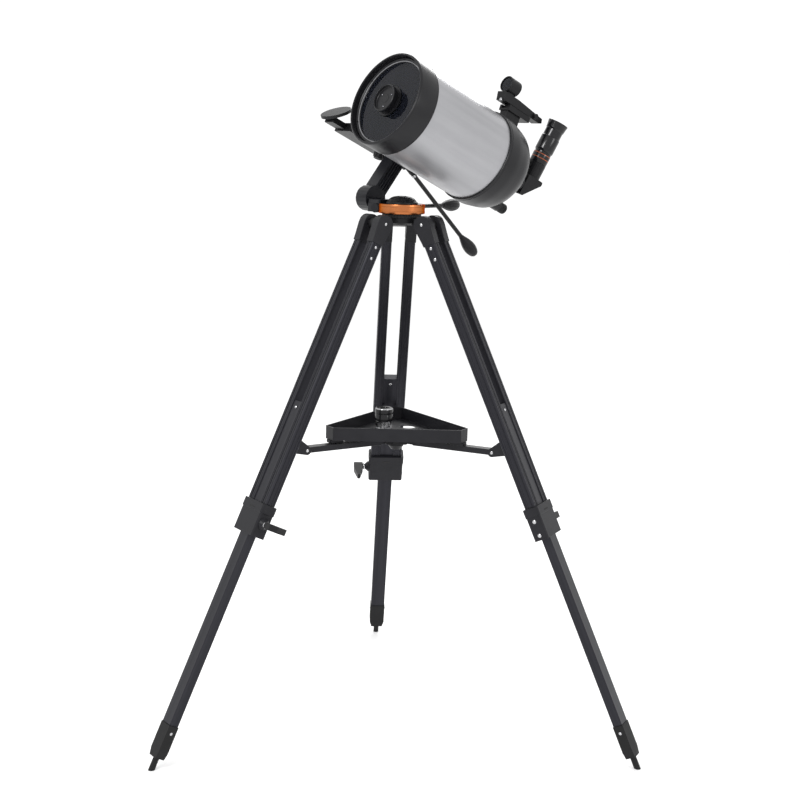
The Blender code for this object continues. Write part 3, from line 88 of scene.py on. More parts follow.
LEGS = [leg_frame(azimuth) for azimuth in LEG_AZIMUTHS]
AWAY = math.radians(AZ_WORM_TURN)
AZ_DRIVE = (MOUNT @ Matrix.Translation((-math.sin(AWAY) * AZ_WORM_OFFSET, math.cos(AWAY) * AZ_WORM_OFFSET,
                                        AZ_WORM_HEIGHT))
            @ Matrix.Rotation(AWAY, 4, "Z"))
DROP = math.radians(ALT_ROD_DROP)
BACK = Vector((-math.cos(DROP), 0, -math.sin(DROP)))
ALT_DRIVE = Matrix((BACK, Vector((0, 1, 0)), BACK.cross(Vector((0, 1, 0))))).transposed().to_4x4()
ALT_DRIVE.translation = (AXIS_X + ALT_WORM_OFFSET * math.sin(DROP), ALT_WORM_PLANE,
                         AXIS_Z - ALT_WORM_OFFSET * math.cos(DROP))
ALT_DRIVE = MOUNT @ ALT_DRIVE


# ----- shader maths -------------------------------------------------------------------------
MIX_A, MIX_B, MIX_RESULT = 6, 7, 2    # a Mix node's colour sockets, whose names repeat


class Wave:
    """A shader value that can be used in plain arithmetic."""

    def __init__(self, finish, socket):
        self.finish, self.socket = finish, socket

    def _maths(self, operation, *values):
        made = self.finish.node("ShaderNodeMath", {"operation": operation}, dict(enumerate(values)))
        return Wave(self.finish, made.outputs[0])

    def __add__(self, other):
        return self._maths("ADD", self, other)

    def __sub__(self, other):
        return self._maths("SUBTRACT", self, other)

    def __rsub__(self, other):
        return self._maths("SUBTRACT", other, self)

    def __mul__(self, other):
        return self._maths("MULTIPLY", self, other)

    __radd__, __rmul__ = __add__, __mul__

    def above(self, other):
        return self._maths("GREATER_THAN", self, other)

    def below(self, other):
        return self._maths("LESS_THAN", self, other)


class Finish:
    """One material being built."""

    def __init__(self, name, metallic=0.0, roughness=0.5, **fixed):
        self.material = bpy.data.materials.new(name)
        self.material.use_nodes = True
        self.tree = self.material.node_tree
        self.shader = self.tree.nodes["Principled BSDF"]
        self.put("Metallic", metallic)
        self.put("Roughness", roughness)
        for key, value in fixed.items():
            self.put(key.replace("_", " "), value)

    def put(self, name, value):
        self._feed(self.shader.inputs[name], value)

    def _feed(self, socket, value):
        if isinstance(value, Wave):
            self.tree.links.new(value.socket, socket)
        elif isinstance(value, bpy.types.NodeSocket):
            self.tree.links.new(value, socket)
        else:
            socket.default_value = value

    def node(self, kind, settings=None, inputs=None):
        made = self.tree.nodes.new(kind)
        for key, value in (settings or {}).items():
            setattr(made, key, value)
        for key, value in (inputs or {}).items():
            self._feed(made.inputs[key], value)
        return made

    def place(self):
        """Object coordinates."""
        return self.node("ShaderNodeTexCoord").outputs["Object"]

    def vector(self, operation, inputs):
        """The node of one step of vector maths."""
        return self.node("ShaderNodeVectorMath", {"operation": operation}, inputs)

    def along(self, direction, origin=(0, 0, 0)):
        """Distance along a direction from a point."""
        offset = self.vector("SUBTRACT", {0: self.place(), 1: origin})
        dot = self.vector("DOT_PRODUCT", {0: offset.outputs[0], 1: direction})
        return Wave(self, dot.outputs["Value"])

    def noise(self, scale, detail=2.0, roughness=0.5, vector=None):
        inputs = {"Vector": vector or self.place(), "Scale": scale, "Detail": detail, "Roughness": roughness}
        return Wave(self, self.node("ShaderNodeTexNoise", None, inputs).outputs["Fac"])

    def drawn(self, direction, across, lengthwise, detail=3.0):
        """Noise stretched along a direction, as on an extrusion or a brushed face."""
        run = self.along(direction) * (across - lengthwise)
        fine = self.vector("SCALE", {0: self.place(), "Scale": across})
        pull = self.vector("SCALE", {0: direction, "Scale": run})
        stretched = self.vector("SUBTRACT", {0: fine.outputs[0], 1: pull.outputs[0]})
        return self.noise(1.0, detail, 0.5, stretched.outputs[0])

    def blend(self, factor, one, two):
        """Colour between two colours; each is a triple or a socket."""
        inputs = {"Factor": factor}
        for key, colour in ((MIX_A, one), (MIX_B, two)):
            inputs[key] = colour if isinstance(colour, bpy.types.NodeSocket) else (*colour, 1)
        return self.node("ShaderNodeMix", {"data_type": "RGBA"}, inputs).outputs[MIX_RESULT]

    def bump(self, height, distance):
        """Normal of a relief that is this deep, in metres."""
        inputs = {"Height": height, "Distance": distance, "Strength": 1.0}
        return self.node("ShaderNodeBump", None, inputs).outputs["Normal"]


def moulded(name, dark, light, roughness, grain=900.0, depth=0.00006):
    """Moulded plastic: fine spark grain, faint cloudiness."""
    made = Finish(name)
    cloud = made.noise(38.0, 3.0)
    fine = made.noise(grain, 2.0, 0.6)
    made.put("Specular IOR Level", 0.20)
    made.put("Base Color", made.blend(cloud, dark, light))
    made.put("Roughness", roughness - 0.10 + 0.14 * cloud + 0.06 * fine)
    made.put("Normal", made.bump(fine, depth))
    return made.material


def coated(name, dark, light, roughness, coat=0.0):
    """Painted metal: low orange peel, faint patches of gloss."""
    made = Finish(name, Coat_Roughness=0.18, Coat_Weight=coat, Specular_IOR_Level=0.24)
    cloud = made.noise(22.0, 4.0)
    peel = made.noise(420.0, 2.0)
    speck = made.noise(2600.0, 1.0)
    made.put("Base Color", made.blend(cloud, dark, light))
    made.put("Roughness", roughness - 0.06 + 0.12 * cloud)
    made.put("Normal", made.bump(peel + 0.35 * speck, 0.00005))
    return made.material


def drawn_metal(name, direction, dark, light, roughness, metallic=1.0):
    """Anodised extrusion: long fine lines along the piece, soft bands."""
    made = Finish(name, metallic=metallic, Specular_IOR_Level=0.25)
    lines = made.drawn(direction, 1500.0, 5.0)
    bands = made.drawn(direction, 120.0, 2.0, 2.0)
    made.put("Base Color", made.blend(0.65 * bands + 0.35 * lines, dark, light))
    made.put("Roughness", roughness - 0.08 + 0.16 * lines)
    made.put("Normal", made.bump(lines, 0.00003))
    return made.material


def turned_metal(name, axis, origin, dark, light, roughness, pitch=0.0004):
    """Turned metal: fine lathe rings about an axis."""
    made = Finish(name, metallic=1.0)
    made.put("Specular Tint", (*light, 1))
    run = made.node("ShaderNodeCombineXYZ", None, {"X": made.along(axis, origin)})
    rings = made.noise(1.0 / pitch, 1.0, 0.5, run.outputs[0])
    cloud = made.noise(60.0, 2.0)
    made.put("Base Color", made.blend(0.5 * rings + 0.5 * cloud, dark, light))
    made.put("Roughness", roughness - 0.05 + 0.12 * rings)
    made.put("Normal", made.bump(rings, 0.000015))
    return made.material


UP = (0, 0, 1)
TUBE_AXIS = (TUBE.to_3x3() @ Vector((1, 0, 0)))[:]
TUBE_ORIGIN = TUBE.translation[:]
LEG_DIRECTIONS = [(leg.to_3x3() @ Vector((0, 0, 1)))[:] for leg in LEGS]

black_plastic = moulded("black_plastic", (0.004, 0.004, 0.005), (0.010, 0.010, 0.011), 0.38)
grey_moulding = moulded("grey_moulding", (0.007, 0.007, 0.009), (0.015, 0.015, 0.018), 0.42)
soft_rubber = moulded("soft_rubber", (0.006, 0.006, 0.006), (0.012, 0.012, 0.013), 0.60, 500.0, 0.00008)
knob_rubber = moulded("knob_rubber", (0.005, 0.005, 0.006), (0.011, 0.011, 0.012), 0.44, 700.0, 0.00006)
black_paint = coated("black_paint", (0.004, 0.004, 0.005), (0.010, 0.010, 0.012), 0.32)
arm_paint = coated("arm_paint", (0.005, 0.005, 0.007), (0.011, 0.012, 0.015), 0.34)
tube_black = coated("tube_black", (0.005, 0.005, 0.006), (0.011, 0.011, 0.013), 0.34, 0.05)
rail_finish = [drawn_metal(f"rail_anodised_{k + 1}", direction, (0.009, 0.009, 0.012), (0.036, 0.036, 0.043),
                           0.33, 0.60) for k, direction in enumerate(LEG_DIRECTIONS)]
bright_steel = turned_metal("bright_steel", UP, (0, 0, 0), (0.36, 0.36, 0.37), (0.58, 0.58, 0.59), 0.22)
dark_steel = turned_metal("blackened_steel", UP, (0, 0, 0), (0.06, 0.06, 0.065), (0.16, 0.16, 0.17), 0.24)
copper = turned_metal("copper_anodised", UP, (0, 0, 1), (0.38, 0.120, 0.040), (0.56, 0.205, 0.078), 0.30,
                      0.0005)
chrome_ring = turned_metal("bright_ring", TUBE_AXIS, TUBE_ORIGIN, (0.10, 0.10, 0.11), (0.42, 0.42, 0.43),
                           0.10)


def silver_paint():
    """Tube's paint: metal flake, faint painted highlight streaks along the tube, low orange peel."""
    made = Finish("silver_paint", metallic=0.62, Specular_IOR_Level=0.2)
    flake = made.noise(1800.0, 1.0)
    cloud = made.noise(9.0, 3.0)
    # painted highlight: noise stretched along the tube lightens the base colour in long streaks, standing in
    # for reflections
    highlight_streak = made.drawn(TUBE_AXIS, 42.0, 2.5, 2.0)
    peel = made.noise(260.0, 2.0)
    tone = 0.25 * cloud + 0.25 * flake + 0.5 * highlight_streak
    made.put("Base Color", made.blend(tone, (0.22, 0.22, 0.232), (0.46, 0.46, 0.475)))
    made.put("Roughness", 0.24 + 0.08 * flake + 0.10 * highlight_streak)
    made.put("Normal", made.bump(peel + 0.2 * flake, 0.000012))
    return made.material


def flat_black():
    """Matt black of the inside of the tube, the baffle, and the dark plates painted as the shade in the
    clamps' slots.
    """
    made = Finish("flat_black", roughness=0.85)
    grain = made.noise(700.0, 2.0)
    made.put("Base Color", made.blend(grain, (0.006, 0.006, 0.006), (0.014, 0.014, 0.015)))
    made.put("Roughness", 0.80 + 0.12 * grain)
    made.put("Normal", made.bump(grain, 0.00001))
    return made.material


def coated_glass():
    """Dark, partly see-through glass of the corrector, the eye lens and the finder's window."""
    made = Finish("coated_glass", roughness=0.03, IOR=1.5)
    tint = made.noise(14.0, 2.0)
    made.put("Specular IOR Level", 0.25)
    made.put("Base Color", made.blend(tint, (0.005, 0.007, 0.010), (0.010, 0.010, 0.015)))
    made.put("Alpha", 0.70 + 0.06 * tint)
    made.put("Roughness", 0.03 + 0.02 * tint)
    return made.material


def mirror_finish():
    """Silvered face with a little haze."""
    made = Finish("mirror_coating", metallic=1.0, roughness=0.02)
    haze = made.noise(30.0, 2.0)
    made.put("Base Color", made.blend(haze, (0.86, 0.87, 0.88), (0.92, 0.92, 0.92)))
    made.put("Roughness", 0.02 + 0.03 * haze)
    return made.material


def eyepiece_finish():
    """Black anodised body with two thin coloured lines round it."""
    made = Finish("eyepiece_black", roughness=0.15, Specular_IOR_Level=0.35)
    axis = (DIAGONAL.to_3x3() @ Vector((0, 0, 1)))[:]
    place = made.along(axis, DIAGONAL.translation[:])
    grain = made.noise(900.0, 2.0)
    lines = place.above(0.0618) * place.below(0.0629) + place.above(0.0702) * place.below(0.0713)
    body = made.blend(grain, (0.004, 0.004, 0.005), (0.009, 0.009, 0.010))
    made.put("Base Color", made.blend(lines, body, (0.40, 0.085, 0.020)))
    made.put("Roughness", 0.13 + 0.07 * grain)
    made.put("Normal", made.bump(grain, 0.00002))
    return made.material


silver = silver_paint()
inside_black = flat_black()
glass = coated_glass()
mirror = mirror_finish()
eyepiece_black = eyepiece_finish()


# ----- shapes ---------------------------------------------------------------------------------
TINY = 1e-7


def along(axis, u, v, w):
    """Point with w along the axis and u, v across it."""
    return {"X": (w, u, v), "Y": (u, w, v), "Z": (u, v, w)}[axis]


def from_faces(vertices, faces):
    """Mesh with doubled points merged and its faces turned outwards."""
    mesh = bpy.data.meshes.new("shape")
    mesh.from_pydata([tuple(v) for v in vertices], [], faces)
    work = bmesh.new()
    work.from_mesh(mesh)
    bmesh.ops.remove_doubles(work, verts=work.verts, dist=TINY)
    bmesh.ops.recalc_face_normals(work, faces=work.faces)
    if work.calc_volume(signed=True) < 0:
        bmesh.ops.reverse_faces(work, faces=work.faces)
    work.to_mesh(mesh)
    work.free()
    return mesh


def turned(profile, axis="Z", sides=96, ring=False, flutes=None):
    """Turn (place, radius) points; flutes = (count, depth, from, to) cuts grips into a stretch."""
    vertices, rows, faces = [], [], []
    for place, radius in profile:
        if radius < 1e-9:
            rows.append([len(vertices)] * sides)
            vertices.append(along(axis, 0, 0, place))
            continue
        rows.append(list(range(len(vertices), len(vertices) + sides)))
        for k in range(sides):
            turn, r = math.tau * k / sides, radius
            if flutes and flutes[2] < place < flutes[3]:
                r -= flutes[1] * max(0.0, math.cos(turn * flutes[0])) ** 2
            vertices.append(along(axis, r * math.cos(turn), r * math.sin(turn), place))
    pairs = list(zip(rows, rows[1:])) + ([(rows[-1], rows[0])] if ring else [])
    for low, high in pairs:
        for k in range(sides):
            n = (k + 1) % sides
            corner = [low[k], low[n], high[n], high[k]]
            loop = [c for i, c in enumerate(corner) if c != corner[i - 1]]
            if len(set(loop)) > 2:
                faces.append(tuple(loop))
    if not ring:
        for end in (rows[0], rows[-1]):
            if len(set(end)) > 1:
                faces.append(tuple(end))
    return from_faces(vertices, faces)


def prism(outline, start, end, axis="Z"):
    """Outline of (u, v) points carried along an axis."""
    count = len(outline)
    vertices = [along(axis, u, v, w) for w in (start, end) for u, v in outline]
    faces = [tuple(range(count)), tuple(range(2 * count - 1, count - 1, -1))]
    faces += [(k, (k + 1) % count, count + (k + 1) % count, count + k) for k in range(count)]
    return from_faces(vertices, faces)


def arc(centre, radius, start, end, steps):
    """Points of an arc between two angles in degrees."""
    turns = [math.radians(start + (end - start) * k / steps) for k in range(steps + 1)]
    return [(centre[0] + radius * math.cos(turn), centre[1] + radius * math.sin(turn)) for turn in turns]


def rounded(x0, x1, y0, y1, radius, steps=5):
    """Outline of a rectangle with rounded corners."""
    return (arc((x1 - radius, y1 - radius), radius, 0, 90, steps)
            + arc((x0 + radius, y1 - radius), radius, 90, 180, steps)
            + arc((x0 + radius, y0 + radius), radius, 180, 270, steps)
            + arc((x1 - radius, y0 + radius), radius, 270, 360, steps))


def joined(*meshes):
    """One mesh of several shapes."""
    work = bmesh.new()
    for mesh in meshes:
        work.from_mesh(mesh)
    made = bpy.data.meshes.new("joined")
    work.to_mesh(made)
    work.free()
    return made


def moved(mesh, matrix):
    mesh.transform(matrix)
    return mesh


def piece(name, mesh, place, body, finish, stands_for=(), edge=0.0, smooth=35):
    """A finished piece: placed in its mesh, edges eased, riding on its body."""
    mesh.transform(place)
    made = bpy.data.objects.new(name, mesh)
    mesh.name = name
    bpy.context.scene.collection.objects.link(made)
    for one in (finish if isinstance(finish, (list, tuple)) else [finish]):
        mesh.materials.append(one)
    if edge:
        ease(made, edge)
    mesh.shade_smooth()
    mesh.set_sharp_from_angle(angle=math.radians(smooth))
    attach(made, body)
    if stands_for:
        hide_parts(*stands_for)
    return made


def ease(made, width, weld=False):
    """Small rounded edges that catch the light."""
    if weld:
        step = made.modifiers.new("weld", "WELD")
        step.merge_threshold = 1e-5
    step = made.modifiers.new("edges", "BEVEL")
    step.width = width
    step.segments = 2
    step.limit_method = "ANGLE"
    step.angle_limit = math.radians(40)
    step.use_clamp_overlap = True
    step.harden_normals = True


def keep(name, finish, edge=0.0):
    """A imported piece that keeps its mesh, gets its finish and may have its edges eased."""
    node = NODES[name]
    node.data.materials.clear()
    node.data.materials.append(finish)
    if edge:
        ease(node, edge, weld=True)


def tx(back):
    """Place along the tube's axis of what lies this far behind its front face."""
    return TUBE_FRONT - back


# ----- optical tube ----------------------------------------------------------------------------
TUBE_R = 0.0880


def two_sided_tube():
    """Rolled tube: silver outside, flat black inside."""
    x0, x1 = tx(0.2575), tx(0.0346)
    inner = TUBE_R - 0.0015
    mesh = turned([(x0, inner), (x0, TUBE_R), (x1, TUBE_R), (x1, inner)], "X", 160, True)
    paints = [silver, inside_black]
    made = piece("tube_skin", mesh, TUBE, "optical_tube", paints, ["optical_tube"])
    for face in made.data.polygons:
        centre = TUBE.inverted() @ face.center
        out = TUBE.inverted().to_3x3() @ face.normal
        if out.y * centre.y + out.z * centre.z < 0:
            face.material_index = 1


two_sided_tube()
R = 0.0895
piece("front_rim", turned([
    (tx(0.0466), 0.0883), (tx(0.0466), R - 0.0010), (tx(0.0461), R - 0.0004), (tx(0.0452), R),
    (tx(0.0445), R), (tx(0.0442), R - 0.0004), (tx(0.0436), R - 0.0004), (tx(0.0433), R),
    (tx(0.0040), R), (tx(0.0022), R - 0.0004), (tx(0.0009), R - 0.0013), (tx(0.0002), R - 0.0024),
    (tx(0.0), R - 0.0033), (tx(0.0003), R - 0.0042),
    (tx(0.0016), R - 0.0049), (tx(0.0035), R - 0.0052), (tx(0.0150), 0.0846), (tx(0.0190), 0.0845),
    (tx(0.0190), 0.0765), (tx(0.0343), 0.0765), (tx(0.0343), 0.0883)], "X", 160, True),
    TUBE, "optical_tube", tube_black, ["front_cell"])
piece("corrector_ring", turned([
    (tx(0.0150), 0.0765), (tx(0.0150), 0.0839), (tx(0.0118), 0.0839), (tx(0.0112), 0.0834),
    (tx(0.0112), 0.0826), (tx(0.0122), 0.0812), (tx(0.0126), 0.0800), (tx(0.0138), 0.0772),
    (tx(0.0143), 0.0765)], "X", 160, True),
    TUBE, "optical_tube", black_paint, ["retaining_ring"])
piece("ring_bright_edge", turned([
    (tx(0.01355), 0.0778), (tx(0.01335), 0.0786), (tx(0.01275), 0.0797), (tx(0.01262), 0.0792),
    (tx(0.01325), 0.0779)], "X", 160, True), TUBE, "optical_tube", chrome_ring)
keep("corrector_plate", glass)


DISH_FRONT = tx(0.0150)
DISH_RIM = DISH_FRONT + 0.0182
DISH_FLOOR = DISH_RIM - 0.0050


def holder():
    """Secondary holder: knurled collar, shallow dish in front."""
    front, rim, glass_back = DISH_FRONT, DISH_RIM, tx(0.0190)
    body = turned([
        (glass_back - 0.016, 0), (glass_back - 0.016, 0.0250), (glass_back - 0.0004, 0.0270),
        (glass_back - 0.0004, 0.0234), (front + 0.0004, 0.0234), (front + 0.0004, 0.0282),
        (front + 0.0014, 0.0287), (front + 0.0034, 0.0285), (front + 0.0037, 0.0262),
        (front + 0.0060, 0.0258), (front + 0.0064, 0.0246), (front + 0.0086, 0.0246),
        (front + 0.0090, 0.0258), (rim - 0.0012, 0.0260), (rim - 0.0003, 0.0254), (rim, 0.0247),
        (rim - 0.0003, 0.0238), (rim - 0.0014, 0.0234), (rim - 0.0044, 0.0230), (DISH_FLOOR, 0.0222),
        (DISH_FLOOR, 0.0080), (rim - 0.0044, 0.0074), (rim - 0.0044, 0)],
        "X", 96, False, (64, 0.0005, front + 0.0036, front + 0.0062))
    piece("holder_body", body, TUBE, "optical_tube", tube_black, ["secondary_holder"])


holder()
keep("secondary_mirror", mirror)
keep("primary_mirror", mirror)
keep("baffle_tube", inside_black)

BACK_R = 0.0912
start = tx(0.2455)
piece("rear_casting", turned([
    (start, 0.0883), (start, BACK_R - 0.0012), (start - 0.0006, BACK_R - 0.0003), (start - 0.0016, BACK_R),
    (start - 0.0045, BACK_R), (start - 0.0049, BACK_R - 0.0005), (start - 0.0058, BACK_R - 0.0005),
    (start - 0.0062, BACK_R), (start - 0.0240, BACK_R - 0.0001), (start - 0.0320, BACK_R - 0.0009),
    (start - 0.0400, BACK_R - 0.0028), (start - 0.0480, BACK_R - 0.0045), (start - 0.0550, BACK_R - 0.0062),
    (start - 0.0620, BACK_R - 0.0084), (start - 0.0690, BACK_R - 0.0120), (start - 0.0760, BACK_R - 0.0168),
    (start - 0.0830, BACK_R - 0.0242), (start - 0.0900, BACK_R - 0.0318), (start - 0.0960, BACK_R - 0.0380),
    (start - 0.1015, BACK_R - 0.0445), (start - 0.1045, BACK_R - 0.0486),
    (tx(0.352) + 0.0004, BACK_R - 0.0508), (tx(0.352), BACK_R - 0.0522), (tx(0.352), 0.0181),
    (tx(0.346), 0.0181), (tx(0.346), 0.0380),
    (start - 0.0885, 0.0520), (start - 0.0790, 0.0630), (start - 0.0695, 0.0715), (start - 0.0595, 0.0775),
    (start - 0.0530, 0.0795), (start - 0.0163, 0.0795), (start - 0.0143, 0.0845), (start - 0.0123, 0.0845),
    (start - 0.0123, 0.0883)], "X", 144, True),
    TUBE, "optical_tube", tube_black, ["rear_cell"])
knob_place = TUBE @ Matrix.Translation((0, 0.010, -0.066))
seat = tx(0.3375)
piece("focus_boss", turned([
    (seat + 0.018, 0.0105), (seat + 0.0012, 0.0108), (seat + 0.0002, 0.0100), (seat, 0.0088),
    (seat, 0.0030), (seat + 0.018, 0.0030)], "X", 48, True),
    knob_place, "optical_tube", tube_black)
piece("focus_grip", turned([
    (seat - 0.0173, 0), (seat - 0.0173, 0.0082), (seat - 0.0168, 0.0092), (seat - 0.0158, 0.0099),
    (seat - 0.0150, 0.0100), (seat - 0.0145, 0.0100), (seat - 0.0060, 0.0100), (seat - 0.0052, 0.0094),
    (seat - 0.0030, 0.0094), (seat - 0.0010, 0.0088), (seat - 0.0003, 0.0080), (seat - 0.0003, 0.0021),
    (tx(0.306), 0.0021), (tx(0.306), 0)], "X", 96, False, (24, 0.0008, seat - 0.0162, seat - 0.0055)),
    knob_place, "focuser", knob_rubber, ["focus_knob"])
keep("dovetail_bar", black_paint, 0.0006)

# ----- eyepiece end ------------------------------------------------------------------------------
keep("visual_back", black_paint, 0.0004)
keep("star_diagonal", black_plastic, 0.0008)
keep("eyepiece_screw", bright_steel, 0.0003)
LOW, SEAT, TOP = 0.0260, 0.0523, 0.1395
piece("eyepiece_body", turned([
    (LOW, 0), (LOW, 0.0150), (LOW + 0.0006, 0.01585), (SEAT, 0.01585), (SEAT, 0.0172),
    (SEAT + 0.0004, 0.0176),
    (SEAT + 0.0190, 0.0179), (SEAT + 0.0200, 0.0176), (SEAT + 0.0206, 0.0171), (SEAT + 0.0240, 0.0171),
    (SEAT + 0.0246, 0.0180), (SEAT + 0.0256, 0.0187), (SEAT + 0.0300, 0.0188), (SEAT + 0.0545, 0.0188),
    (SEAT + 0.0556, 0.0184), (SEAT + 0.0562, 0.0176), (TOP - 0.0165, 0.0176), (TOP - 0.0158, 0.0181),
    (TOP - 0.0146, 0.0187), (TOP - 0.0120, 0.0189), (TOP - 0.0060, 0.0197), (TOP - 0.0012, 0.0206),
    (TOP - 0.0002, 0.0207), (TOP, 0.0203), (TOP - 0.0004, 0.0194), (TOP - 0.0016, 0.0182),
    (TOP - 0.0055, 0.0125), (TOP - 0.0060, 0.0108), (TOP - 0.0062, 0)],
    "Z", 96, False, (40, 0.0005, SEAT + 0.0290, SEAT + 0.0300)),
    DIAGONAL, "eyepiece", eyepiece_black, ["eyepiece"])
piece("eye_lens", turned([
    (TOP - 0.0061, 0.0100), (TOP - 0.0056, 0.0100), (TOP - 0.0050, 0.0070),
    (TOP - 0.0047, 0.0030), (TOP - 0.0046, 0)], "Z", 48),
    DIAGONAL, "eyepiece", glass)

# ----- finder, dock ------------------------------------------------------------------------------
for name in ("finder_bracket", "red_dot_finder"):
    keep(name, black_plastic, 0.0009)
keep("finder_dial", knob_rubber, 0.0004)
keep("dock_bracket", black_plastic, 0.0010)
keep("dock_shelf", black_plastic, 0.0009)
keep("dock_jaw", knob_rubber, 0.0006)
keep("dock_mirror", black_plastic, 0.0008)

# ----- mount -------------------------------------------------------------------------------------
keep("mount_arm", arm_paint, 0.0010)
keep("arm_cover", black_plastic, 0.0008)
keep("altitude_shaft", black_paint, 0.0004)
keep("altitude_clutch_knob", knob_rubber, 0.0006)
keep("saddle", black_paint, 0.0008)
keep("saddle_knob", knob_rubber, 0.0005)
keep("azimuth_base", black_paint)
keep("azimuth_housing", arm_paint, 0.0008)
keep("azimuth_nut", bright_steel)
keep("azimuth_worm", bright_steel)
keep("altitude_worm", bright_steel)


BAND_START, BAND_OPEN = 320.5, 74.0    # degrees


def band():
    """Copper-coloured ring: a swept section, open where the arm's foot and the drive come out."""
    inner, outer, low, high = 0.04145, 0.04365, 0.998, 1.016
    section = [(inner, low + 0.0010), (outer - 0.0012, low), (outer - 0.0004, low + 0.0005),
               (outer, low + 0.0018), (outer, low + 0.0050), (outer - 0.0003, low + 0.0054),
               (outer - 0.0003, high - 0.0052), (outer, high - 0.0048), (outer, high - 0.0018),
               (outer - 0.0004, high - 0.0005), (outer - 0.0012, high), (inner, high)]
    count, size, vertices, faces = 120, len(section), [], []
    begin, sweep = math.radians(BAND_START), math.radians(360 - BAND_OPEN)
    for k in range(count + 1):
        turn = begin + sweep * k / count
        vertices += [(r * math.cos(turn), r * math.sin(turn), z) for r, z in section]
    for k in range(count):
        for n in range(size):
            m = (n + 1) % size
            faces.append((k * size + n, k * size + m, (k + 1) * size + m, (k + 1) * size + n))
    faces += [tuple(range(size)), tuple(range(count * size, (count + 1) * size))]
    ring = from_faces(vertices, faces)
    piece("copper_band", ring, MOUNT, "mount", copper, ["azimuth_ring"])


band()
piece("domed_cap", turned([
    (1.0158, 0.0300), (1.0184, 0.0300), (1.0190, 0.0297), (1.0194, 0.0288), (1.0238, 0.0252),
    (1.0262, 0.0225), (1.0284, 0.0185), (1.0298, 0.0140), (1.0306, 0.0085), (1.0309, 0),
    (1.0285, 0), (1.0282, 0.0090), (1.0272, 0.0140), (1.0240, 0.0200), (1.0205, 0.0235),
    (1.0188, 0.0280), (1.0158, 0.0280)], "Z", 96, True),
    MOUNT, "mount", black_plastic, ["azimuth_cap"])


def drive(name, frame_matrix, body, node, start_x, end):
    """Control rod with its ferrule and a soft knob with shallow flutes."""
    knob = end + 0.050
    shape = turned([
        (start_x, 0), (start_x, 0.0052), (start_x + 0.0006, 0.0058), (start_x + 0.0150, 0.0058),
        (start_x + 0.0165, 0.0052), (start_x + 0.0180, 0.0042),
        (end - 0.0060, 0.0042), (end - 0.0050, 0.0050),
        (end - 0.0020, 0.0056), (end + 0.0010, 0.0066), (end + 0.0060, 0.0082), (end + 0.0120, 0.0101),
        (end + 0.0180, 0.0114), (end + 0.0240, 0.0122), (end + 0.0290, 0.0125), (end + 0.0340, 0.0122),
        (end + 0.0390, 0.0113), (end + 0.0430, 0.0101), (end + 0.0465, 0.0086), (knob - 0.0010, 0.0066),
        (knob - 0.0002, 0.0045), (knob, 0)], "X", 64, False, (10, 0.0007, end + 0.009, end + 0.041))
    piece(f"{name}_rod", shape, frame_matrix, body, knob_rubber, [node])
    ferrule = turned([
        (start_x + 0.0190, 0.0043), (start_x + 0.0190, 0.0050), (start_x + 0.0196, 0.0056),
        (start_x + 0.0246, 0.0056), (start_x + 0.0252, 0.0050), (start_x + 0.0252, 0.0043)], "X", 48, True)
    piece(f"{name}_ferrule", ferrule, frame_matrix, body, bright_steel)


drive("azimuth", AZ_DRIVE, "azimuth_drive", "azimuth_control", 0.0425, 0.208)
drive("altitude", ALT_DRIVE, "altitude_drive", "altitude_control", 0.0345, 0.241)

# ----- tripod --------------------------------------------------------------------------------------
RAIL_IN, RAIL_OUT, HALF = 0.0132, 0.0324, 0.011
CLAMP_BOTTOM = -(LEG_LENGTH - 0.459)
CLAMP_TOP = CLAMP_BOTTOM + 0.062
SIDES = (-1, 1)
BRACE_Y, BRACE_Z = 0.041, -0.441      # brace pin on the leg, from the hinge
CHEEK_WALL = 0.0018


def grooved(start, end, depth, *grooves):
    """One side of an extrusion's section with square grooves; each is (place, width) along it."""
    corner = 0.0012
    start, end = Vector(start), Vector(end)
    run = (end - start).normalized()
    inward = Vector((-run.y, run.x))
    points = [start + run * corner]
    for place, width in grooves:
        near, far = start + run * (place - width / 2), start + run * (place + width / 2)
        points += [near, near + inward * depth, far + inward * depth, far]
    return [tuple(p) for p in points + [end - run * corner]]


def rail_section(side):
    """Section of one rail: grooved outside faces, channel for the sliding leg inside."""
    wide, deep, narrow, channel = RAIL_OUT - RAIL_IN, 0.0009, 0.0014, 0.0093
    flank = ((0.0042, narrow), (wide / 2, 0.0046), (wide - 0.0042, narrow))
    face = ((0.0050, narrow), (HALF, 0.0050), (0.0170, narrow))
    points = grooved((RAIL_IN, -HALF), (RAIL_OUT, -HALF), deep, *flank)
    points += grooved((RAIL_OUT, -HALF), (RAIL_OUT, HALF), deep, *face)
    points += grooved((RAIL_OUT, HALF), (RAIL_IN, HALF), deep, *flank)
    points += [(RAIL_IN, channel), (0.0153, channel), (0.0153, -channel), (RAIL_IN, -channel)]
    return [(side * x, y) for x, y in points]


